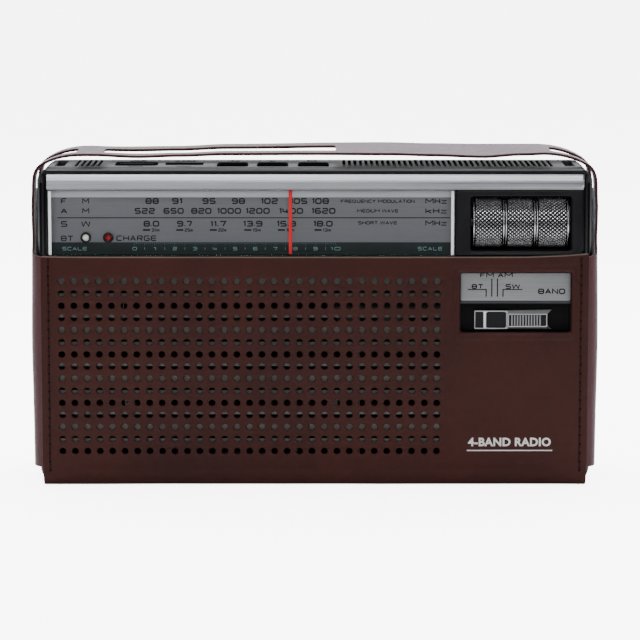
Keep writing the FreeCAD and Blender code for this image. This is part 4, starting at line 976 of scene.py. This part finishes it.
def deck():
    """Ribbed plate with its nose, the ports' surrounds and the printed marks."""
    holes = []
    for start, count in ((12.0, 38), (-103.4, 5)):
        for i in range(count):
            x = start + VENT_PITCH * i
            holes.append(opening(x, x + 1.25, -12.0, 18.0, 0.3, 2))
    holes += [opening(x - 2.2, x + 2.2, -11.0, 14.0, 0.8, 3) for x in (-109.8, 109.8)]
    holes += [opening(x - 6.75, x + 6.75, -12.25, 0.25, 0.9, 3) for x in KEY_X.values()]
    holes += [opening(*USB_MOUTH), opening(*CARD_MOUTH)]
    shape = level_plate(rounded(-114.2, 114.2, -17.6, 19.2, 1.5, 4), holes, 1.8, 0.16, DECK_Z)
    add("deck_plate", *shape, "deck", replaces=("top_deck",), slot="deck_metal", angle=40)
    # Near-black blocks under the vents and slots: painted shade seen through them.
    under = merge([block(x0, x1, y0, y1, 134.0, 134.3) for x0, x1, y0, y1 in (
        (10, 104, -13, 18.6), (-105, -90, -13, 18.6), (-112.5, -107, -12, 15), (107, 112.5, -12, 15))])
    add("deck_recess", *under, "deep")
    profile = [(-28.9, 134.15), (-28.9, 134.6), (-27.9, 136.05), (-17.9, 136.12), (-17.9, 134.15)]
    add("deck_nose", *extrude_x(profile, -114.5, 114.5), "nose", ease=0.2, slot="deck_metal")
    shoulders = merge([block(x, x + 3.1, -28.4, 12.0, 130.0, 134.9) for x in (113.0, -116.1)])
    add("deck_shoulders", *shoulders, "black", ease=0.8)
    marks = []
    for tip, way in ((-38.1, 1), (-35.5, 1), (-17.0, -1), (-0.6, -1), (2.0, -1)):
        arrow = [(tip, 13.8), (tip + 2.6 * way, 11.0), (tip + 2.6 * way, 16.6)][::way]
        verts = [(u, v, z) for z in (DECK_TOP, DECK_TOP + 0.06) for u, v in arrow]
        marks.append((verts, [(2, 1, 0), (3, 4, 5), (0, 1, 4, 3), (1, 2, 5, 4), (2, 0, 3, 5)]))
    for x, word, wide in ((-77.0, "USB", 7.0), (-56.4, "CARD", 9.0)):
        verts, faces = printed(word, x, 13.8, 4.4, wide, 0, 0.9)
        marks.append(([(u, w, DECK_TOP + 0.03 + y) for u, y, w in verts], faces))
        marks.append(block(x - 3.2, x + 3.2, -12.6, -11.4, DECK_TOP, DECK_TOP + 0.06))
    ports = merge([level_plate(rounded(*outline), [opening(*mouth)], 0.3, 0.1, 136.1) for outline, mouth in (
        ((-86.2, -67.8, -8.6, 6.0, 2.5, 5), USB_MOUTH), ((-64.6, -48.2, -5.2, 3.2, 1.2, 4), CARD_MOUTH))])
    add("port_surrounds", *ports, "key", angle=40)
    add("deck_lettering", *merge(marks), "key", slot="deck_metal")


def keys():
    """Key caps with softened tops, each on its stem."""
    for name, x in KEY_X.items():
        verts = []
        for inset, z in ((0, 133.9), (0, 136.2), (0.25, 136.6), (0.7, 136.72)):
            half, radius = 6.5 - inset, max(0.9 - inset, 0.2)
            row = rounded(x - half, x + half, -12.0 + inset, -inset, radius, 4)
            verts += [(u, v, z) for u, v in row]
        n = len(verts) // 4
        faces = [(r * n + i, r * n + (i + 1) % n, (r + 1) * n + (i + 1) % n, (r + 1) * n + i)
                 for r in range(3) for i in range(n)]
        faces += [tuple(range(n - 1, -1, -1)), tuple(3 * n + i for i in range(n))]
        bar = block(x - 4.5, x + 4.5, -6.8, -5.2, 136.6, 137.0)
        stem = block(x - 1.5, x + 1.5, -7.5, -4.5, 130.2, 134.0)
        collar = block(x - 7.1, x + 7.1, -12.0, 0.0, 133.0, 134.0)
        node = "key_" + name
        add(node + "_cap", *merge([(verts, faces), bar, stem, collar]), "key", body=name + "_key",
            replaces=(node,), slot="key_plastic", ease=0.1)


def trim():
    """Bright bar with a crowned upper half, a waist line and a foot in darker plating, painted shade where
    it faces down.
    """
    profile = [(-28.8, 128.25), (-29.85, 128.25), (-29.98, 128.5), (-29.9, 129.8), (-29.76, 131.2),
               (-29.6, 131.35), (-29.92, 131.5), (-29.7, 132.3), (-29.4, 133.1), (-29.1, 133.8),
               (-28.8, 134.2)]
    verts, faces = extrude_x(profile, -113.7, 113.6)
    n = len(profile)
    verts += [(114.3, -28.8 + (y + 28.8) * 0.55, 130.85 + (z - 130.85) * 0.86) for y, z in profile]
    faces = faces[:-1] + [(n + i, n + (i + 1) % n, 2 * n + (i + 1) % n, 2 * n + i) for i in range(n)]
    faces.append(tuple(range(2 * n, 3 * n)))
    add("front_bar", verts, faces, "trim", replaces=("trim_bar",), slot="satin_trim", angle=24, ease=0.08)
    # The foot takes the darker plating: painted shade on the face that looks down.
    foot = extrude_x([(-28.8, 127.5), (-29.3, 127.5), (-29.9, 128.25), (-28.8, 128.25)], -113.7, 114.0)
    add("bar_foot", *foot, "knob_side", slot="satin_trim", angle=24, ease=0.06)
    add("bar_shadow_line", *block(-113.6, 114.0, -28.95, -28.7, 134.2, 134.55), "deep")


# ---- Dial ---------------------------------------------------------------------------------------------
def dial():
    """The window, white strips painted in its edges as the light refracted there, and the printing on the
    scale plate.
    """
    x0, x1, z0, z1 = DIAL
    front, rim = -29.0, -24.95
    parts = [block(x0, x1, front, front + 2.0, z0, z1)]
    parts += [block(x, x + 1.1, front + 2.0, rim, z0, z1) for x in (x0, x1 - 1.1)]
    add("dial_window", *merge(parts), "lens", replaces=("dial_lens",), slot="clear_acrylic", ease=0.12)
    # Painted highlight: near-white strips inside the window's side edges, for the light the acrylic refracts
    # there.
    glow = [block(x, x + 1.2, -28.3, -27.9, z0 + 0.3, z1 - 0.2) for x in (x0 + 0.2, x1 - 1.4)]
    add("window_edge_painted_light", *merge(glow), "glow", slot="clear_acrylic")
    dark, pale = [], []

    def write(text, x, z, height, fit, weight, to=dark):
        to.append(printed(text, x, z, height, fit, SCALE_PRINT_Y, weight))

    def bar(x0, x1, z0, z1, to=dark):
        to.append(block(x0, x1, SCALE_PRINT_Y - 0.02, SCALE_PRINT_Y + 0.01, z0, z1))

    def figure(text, x, z):
        write(text, x, z, 2.55, sum({"1": 1.6, ".": 1.0}.get(c, 3.0) for c in text) - 0.3, 0.58)

    rows = (122.3, 118.1, 112.5)
    for x, letters, widths in ((-106.8, "FAS", (2.4, 2.7, 2.7)), (-97.5, "MMW", (2.8, 2.9, 3.8))):
        for letter, z, width in zip(letters, rows, widths):
            write(letter, x, z, 2.45, width + 0.1, 0.46)
    write("BT", -105.6, 106.3, 2.4, 5.3, 0.46)
    write("CHARGE", -76.0, 106.4, 2.4, 17.2, 0.46)
    fm = {"88": -69.2, "91": -58.6, "95": -45.0, "98": -32.5, "102": -19.3, "105": -6.8, "108": 2.4}
    am = {"522": -72.4, "650": -60.1, "820": -48.3, "1000": -36.5, "1200": -24.3, "1400": -10.1, "1620": 3.7}
    sw = {"8.0": -69.6, "9.7": -55.4, "11.7": -41.1, "13.9": -26.4, "15.3": -12.1, "18.0": 3.5}
    for band_figures, z in ((fm, rows[0]), (am, rows[1]), (sw, 112.6)):
        for text, x in band_figures.items():
            figure(text, x, z)
    for x, metres in zip(sw.values(), ("31m", "25m", "22m", "19m", "16m", "13m")):
        bar(x - 3.6, x - 0.6, 109.55, 110.3)
        write(metres, x + 1.7, 109.9, 1.5, 3.5, 0.32)
    for text, z, width in (("FREQUENCY MODULATION", 122.2, 31.5), ("MEDIUM WAVE", 118.1, 17.6),
                           ("SHORT WAVE", 113.0, 16.6)):
        write(text, 26.8, z, 1.5, width, 0.32)
    for text, z in (("MHz", rows[0]), ("kHz", rows[1]), ("MHz", 112.9)):
        write(text, 51.7, z, 2.35, 9.2, 0.46)
    bar(-109.6, 57.6, 114.95, 115.35)
    for x in (-102.4, 49.2):
        write("SCALE", x, 101.9, 1.6, 10.6, 0.32, pale)
    for i in range(11):
        x = -76.8 + 8.57 * i
        write(str(i), x, 101.9, 1.5, {1: 1.1, 10: 4.2}.get(i, 1.9), 0.30, pale)
        if i:
            bar(x - 4.4, x - 4.2, 101.4, 102.5, pale)
    for i in range(101):
        x = -76.8 + 0.857 * i
        bar(x - 0.05, x + 0.05, 103.9 if i % 5 else 103.6, 104.4, pale)
    add("dial_print", *merge(dark), "ink", slot="scale_print")
    add("dial_print_pale", *merge(pale), "ink_pale", slot="scale_print")


def pointer_needle():
    """Bevelled red blade over the pointer's arm."""
    x = -10.35
    profile = [(x - 0.72, -25.9), (x - 0.45, -26.35), (x + 0.45, -26.35), (x + 0.72, -25.9),
               (x + 0.5, -25.7), (x - 0.5, -25.7)]
    add("pointer_blade", *extrude_z(profile, 99.7, 131.0), "pointer", body="pointer", slot="pointer_red")


# ---- Thumbwheels --------------------------------------------------------------------------------------
# Width of the smooth flange at each end of a wheel, and of the raised rim at its outer edge.
FLANGE = 1.15
RIM = 0.36


def on_wheel(x, radius, angle):
    """Point at an angle about the thumbwheels' axis."""
    return (x, WHEEL_AXIS[0] + radius * math.cos(angle), WHEEL_AXIS[1] + radius * math.sin(angle))


def knurl(x0, x1):
    """Diamond-knurled rim between two smooth flanges."""
    around, rows, tip = 40, 12, 0.30
    a, b = x0 + FLANGE, x1 - FLANGE
    pitch = (b - a) / rows
    verts, faces = [], []

    def at(i, x, radius):
        verts.append(on_wheel(x, radius, 2 * math.pi * i / around))

    for j in range(-1, rows):
        for i in range(around):
            c = i + 0.5 * (j % 2)
            low, mid, high = (min(max(a + pitch * k, a - 0.2), b + 0.2) for k in (j, j + 1, j + 2))
            if high - low < pitch * 0.5:
                continue
            start = len(verts)
            for share, radius in ((1, WHEEL_R - 1.2), (tip, WHEEL_R - 0.1)):
                at(c, mid + (low - mid) * share, radius)
                at(c + 0.5 * share, mid, radius)
                at(c, mid + (high - mid) * share, radius)
                at(c - 0.5 * share, mid, radius)
            for k in range(4):
                faces.append((start + k, start + (k + 1) % 4, start + 4 + (k + 1) % 4, start + 4 + k))
            faces.append((start + 4, start + 5, start + 6, start + 7))
    return verts, faces


def lathe_x(profile, sides=96):
    """A wheel turned on the thumbwheels' axis from (x, radius) points."""
    n = len(profile)
    verts = [on_wheel(x, r, 2 * math.pi * k / sides) for k in range(sides) for x, r in profile]
    faces = []
    for k in range(sides):
        for i in range(n - 1):
            a, b = k * n + i, ((k + 1) % sides) * n + i
            faces.append((a, b, b + 1, a + 1))
    return verts, faces


def wheels():
    """Rims with a thin flange at each end of the knurl, and the sleeve or shafts behind them."""
    r = WHEEL_R
    hubs = {
        "volume": [(57.0, 1.6), (57.0, 3.0), (67.6, 3.0)],
        "tone": [(50.0, 0.0), (50.0, 1.5), (81.3, 1.5)],
        "tuning": [(89.9, 0.0), (89.9, 1.5), (94.5, 1.5)],
    }
    spindle = [(107.8, 1.5), (110.4, 1.5), (110.4, 4.5), (111.2, 4.5), (111.6, 3.25), (113.2, 3.25),
               (113.6, 4.5), (114.4, 4.5), (114.4, 1.5), (115.2, 1.5), (115.2, 0.0)]
    edge = [(0, 1.6), (0, r - 0.3), (0.08, r - 0.06), (0.2, r), (RIM - 0.12, r), (RIM, r - 0.1),
            (RIM + 0.05, r - 1.3), (FLANGE + 0.2, r - 1.3), (FLANGE + 0.25, r - 0.9)]
    for body, (x0, x1) in WHEELS.items():
        parts = [knurl(x0, x1), lathe_x([(x0 + x, radius) for x, radius in edge]),
                 lathe_x([(x1 - x, radius) for x, radius in reversed(edge)]),
                 lathe_x([(x0 + FLANGE - 0.1, r - 1.25), (x1 - FLANGE + 0.1, r - 1.25)]),
                 lathe_x(hubs[body], 32)]
        if body == "tuning":
            parts.append(lathe_x(spindle, 48))
        add(body + "_rim", *merge(parts), "knurl", body=body, slot="wheel_chrome", angle=20,
            replaces=(body + "_wheel",))


# ---- Band switch --------------------------------------------------------------------------------------
def band_switch():
    """The printed plate over the slider, its ledge and the channel that the slider runs in, lined near-black
    as painted shade.
    """
    plate = front_plate(rounded(62.2, 109.1, 79.9, 91.8, 0.5, 3), [], 0.5, 0.1, -27.35)
    add("band_label", *plate, "plate", replaces=("band_plate",), slot="satin_plate")
    ledge = extrude_x([(-27.1, 78.3), (-27.45, 78.5), (-27.45, 79.5), (-27.1, 79.8)], 62.0, 109.3)
    add("band_ledge", *ledge, "deck", ease=0.08, slot="satin_plate")
    words = (("BT", 69.4, 86.0, 2.1, 5.0, 0.46), ("SW", 84.4, 86.0, 2.1, 6.2, 0.46),
             ("FM", 73.4, 90.9, 2.2, 5.9, 0.46), ("AM", 81.2, 90.9, 2.2, 6.4, 0.46),
             ("BAND", 101.0, 83.9, 2.4, 11.6, 0.54))
    lines = [(x - 0.24, x + 0.24, 81.6, top)
             for x, top in ((73.1, 84.9), (75.5, 89.4), (77.9, 89.4), (80.3, 84.9))]
    lines += [(65.2, 73.34, 84.5, 84.9), (80.06, 88.6, 84.5, 84.9)]
    pieces = [printed(*word, BAND_PRINT_Y, weight) for *word, weight in words]
    pieces += [block(x0, x1, BAND_PRINT_Y - 0.02, BAND_PRINT_Y + 0.02, z0, z1) for x0, x1, z0, z1 in lines]
    add("band_print", *merge(pieces), "ink", slot="satin_plate")
    channel = merge([block(62.5, 109.0, -24.75, -24.5, 66.7, 78.6),
                     block(62.3, 109.2, -28.0, -24.6, 78.2, 78.6),
                     block(62.3, 109.2, -28.0, -24.6, 66.3, 66.7)])
    add("band_channel", *channel, "deep")


def band_knob():
    """Slide knob: a frame with two sunk panels and an index, then a raised grip with a swallow-tail end."""
    def part(name, shape, look, **more):
        add(name, *shape, look, **{"body": "band_slider", "slot": "satin_plate", **more})

    left = front_plate(rounded(68.2, 82.6, 67.5, 75.4, 0.5, 3),
                       [opening(68.6, 72.0, 68.0, 75.0, 0.2, 2), opening(73.3, 81.8, 68.0, 75.0, 0.9, 4)],
                       1.3, 0.15, -26.1)
    rim = front_plate(rounded(82.5, 99.3, 68.5, 74.2, 0.3, 2), [opening(82.95, 98.85, 68.95, 73.75, 0.2, 2)],
                      0.4, 0.12, -27.3)
    part("knob_frame", merge([left, rim]), "knob_frame", replaces=("band_knob",), angle=35)
    low = [(82.0, 67.4), (101.2, 67.3), (99.6, 68.9), (99.6, 73.9), (101.2, 75.8), (82.0, 75.4)]
    high = [(82.6, 68.6), (99.2, 68.6), (99.2, 74.1), (82.6, 74.1)]
    n = len(low)
    verts = [(x, y, z) for y, points in ((-24.9, low), (-25.7, low), (-27.25, high)) for x, z in points]
    faces = [(i, n + i, n + (i + 1) % n, (i + 1) % n) for i in range(n)]
    faces += [tuple(range(n)), (12, 13, 7, 6), (13, 8, 7), (13, 14, 9, 8), (14, 10, 9), (14, 15, 11, 10),
              (15, 12, 6, 11), (12, 15, 14, 13)]
    # The slopes take the darker plating: painted shade on the grip's sloping sides.
    part("knob_slopes", (verts, faces), "knob_side", angle=25)
    dark = merge([block(68.4, 82.4, -25.9, -25.3, 67.8, 75.1), block(82.9, 98.9, -27.35, -27.1, 68.9, 73.8)])
    part("knob_panels", dark, "black_fine", slot="cabinet_plastic")
    part("knob_index", block(72.35, 72.95, -26.85, -26.6, 67.9, 75.0), "ink_white", ease=0.05)
    ribs = []
    for i in range(11):
        x = 84.2 + 1.2 * i
        profile = [(x - 0.36, -27.2), (x - 0.26, -27.95), (x - 0.10, -28.1), (x + 0.10, -28.1),
                   (x + 0.26, -27.95), (x + 0.36, -27.2)]
        ribs.append(extrude_z(profile, 69.1, 73.6))
    stem = block(83.0, 87.0, -25.4, -19.8, 71.1, 73.3)
    part("knob_ribs", merge(ribs + [stem]), "rib", angle=25)


def case_lettering():
    """Generic words at the lower right of the case, over a rule."""
    y = -30.0
    pieces = [raised_words("4-BAND RADIO", 83.5, 18.9, 4.932, y - 0.02, 35.5),
              block(65.2, 101.8, y - 0.09, y + 0.1, 15.2, 15.65)]
    add("case_words", *merge(pieces), "foil", slot="wrap_leather")


dress_cad()
leather_wrap()
seams()
band()
flank_steps()
pod_frame()
deck()
keys()
trim()
dial()
pointer_needle()
wheels()
band_switch()
band_knob()
case_lettering()
ease_cad()


# ---- Studio -------------------------------------------------------------------------------------------
def light(name, place, aim, width, height, power):
    """A soft rectangular light: its place, aim and size in metres, and its power in watts."""
    data = bpy.data.lights.new(name, "AREA")
    data.shape = "RECTANGLE"
    data.size = width
    data.size_y = height
    data.energy = power
    obj = bpy.data.objects.new(name, data)
    obj.location = place
    obj.rotation_euler = (Vector(aim) - Vector(place)).to_track_quat("-Z", "Y").to_euler()
    bpy.context.scene.collection.objects.link(obj)


def surroundings():
    """A soft studio, brighter behind the object than in front. The camera sees all of it as white."""
    world = bpy.data.worlds.new("studio")
    world.use_nodes = True
    tree = world.node_tree
    background = tree.nodes["Background"]
    coords = tree.nodes.new("ShaderNodeTexCoord")
    split = tree.nodes.new("ShaderNodeSeparateXYZ")
    ramp = tree.nodes.new("ShaderNodeMapRange")
    ramp.interpolation_type = "SMOOTHSTEP"
    for key, value in {"From Min": -0.35, "From Max": 0.55, "To Min": 0.16, "To Max": 1.5}.items():
        ramp.inputs[key].default_value = value
    path = tree.nodes.new("ShaderNodeLightPath")
    seen = tree.nodes.new("ShaderNodeMix")
    seen.inputs["B"].default_value = 7.0
    tree.links.new(coords.outputs["Generated"], split.inputs[0])
    tree.links.new(split.outputs["Y"], ramp.inputs["Value"])
    tree.links.new(path.outputs["Is Camera Ray"], seen.inputs["Factor"])
    tree.links.new(ramp.outputs["Result"], seen.inputs["A"])
    tree.links.new(seen.outputs["Result"], background.inputs["Strength"])
    background.inputs["Color"].default_value = (1, 1, 1, 1)
    bpy.context.scene.world = world


def studio():
    """Floor, surroundings and three soft lights."""
    mesh = bpy.data.meshes.new("studio_floor")
    mesh.from_pydata([(-4, -0.345, 0), (4, -0.345, 0), (30, 30, 0), (-30, 30, 0)], [], [(0, 1, 2, 3)])
    mesh.materials.append(M["floor"])
    floor = bpy.data.objects.new("studio_floor", mesh)
    bpy.context.scene.collection.objects.link(floor)
    surroundings()
    light("overhead", (0.0, 0.30, 0.75), (0, 0.15, 0), 1.5, 0.8, 22)
    light("front_high", (0.0, -1.7, 0.75), (0, 0, 0.08), 1.2, 0.4, 9.5)
    light("front_top", (0.0, -1.05, 1.25), (0, 0, 0.10), 1.2, 0.4, 11)


def camera():
    """The viewpoint: 8 degrees above level, from 1.3 m, with 272.8 mm across the picture."""
    distance, across, tilt = 1300, 272.8, math.radians(8.0)
    data = bpy.data.cameras.new("camera")
    data.sensor_width = 36
    data.lens = 36 * distance / across
    data.clip_start = 0.01
    obj = bpy.data.objects.new("camera", data)
    aim = Vector((2.24, -30, 71.9)) * MM
    obj.location = aim + Vector((0, -math.cos(tilt), math.sin(tilt))) * (distance * MM)
    obj.rotation_euler = (math.pi / 2 - tilt, 0, 0)
    bpy.context.scene.collection.objects.link(obj)
    bpy.context.scene.camera = obj


studio()
camera()
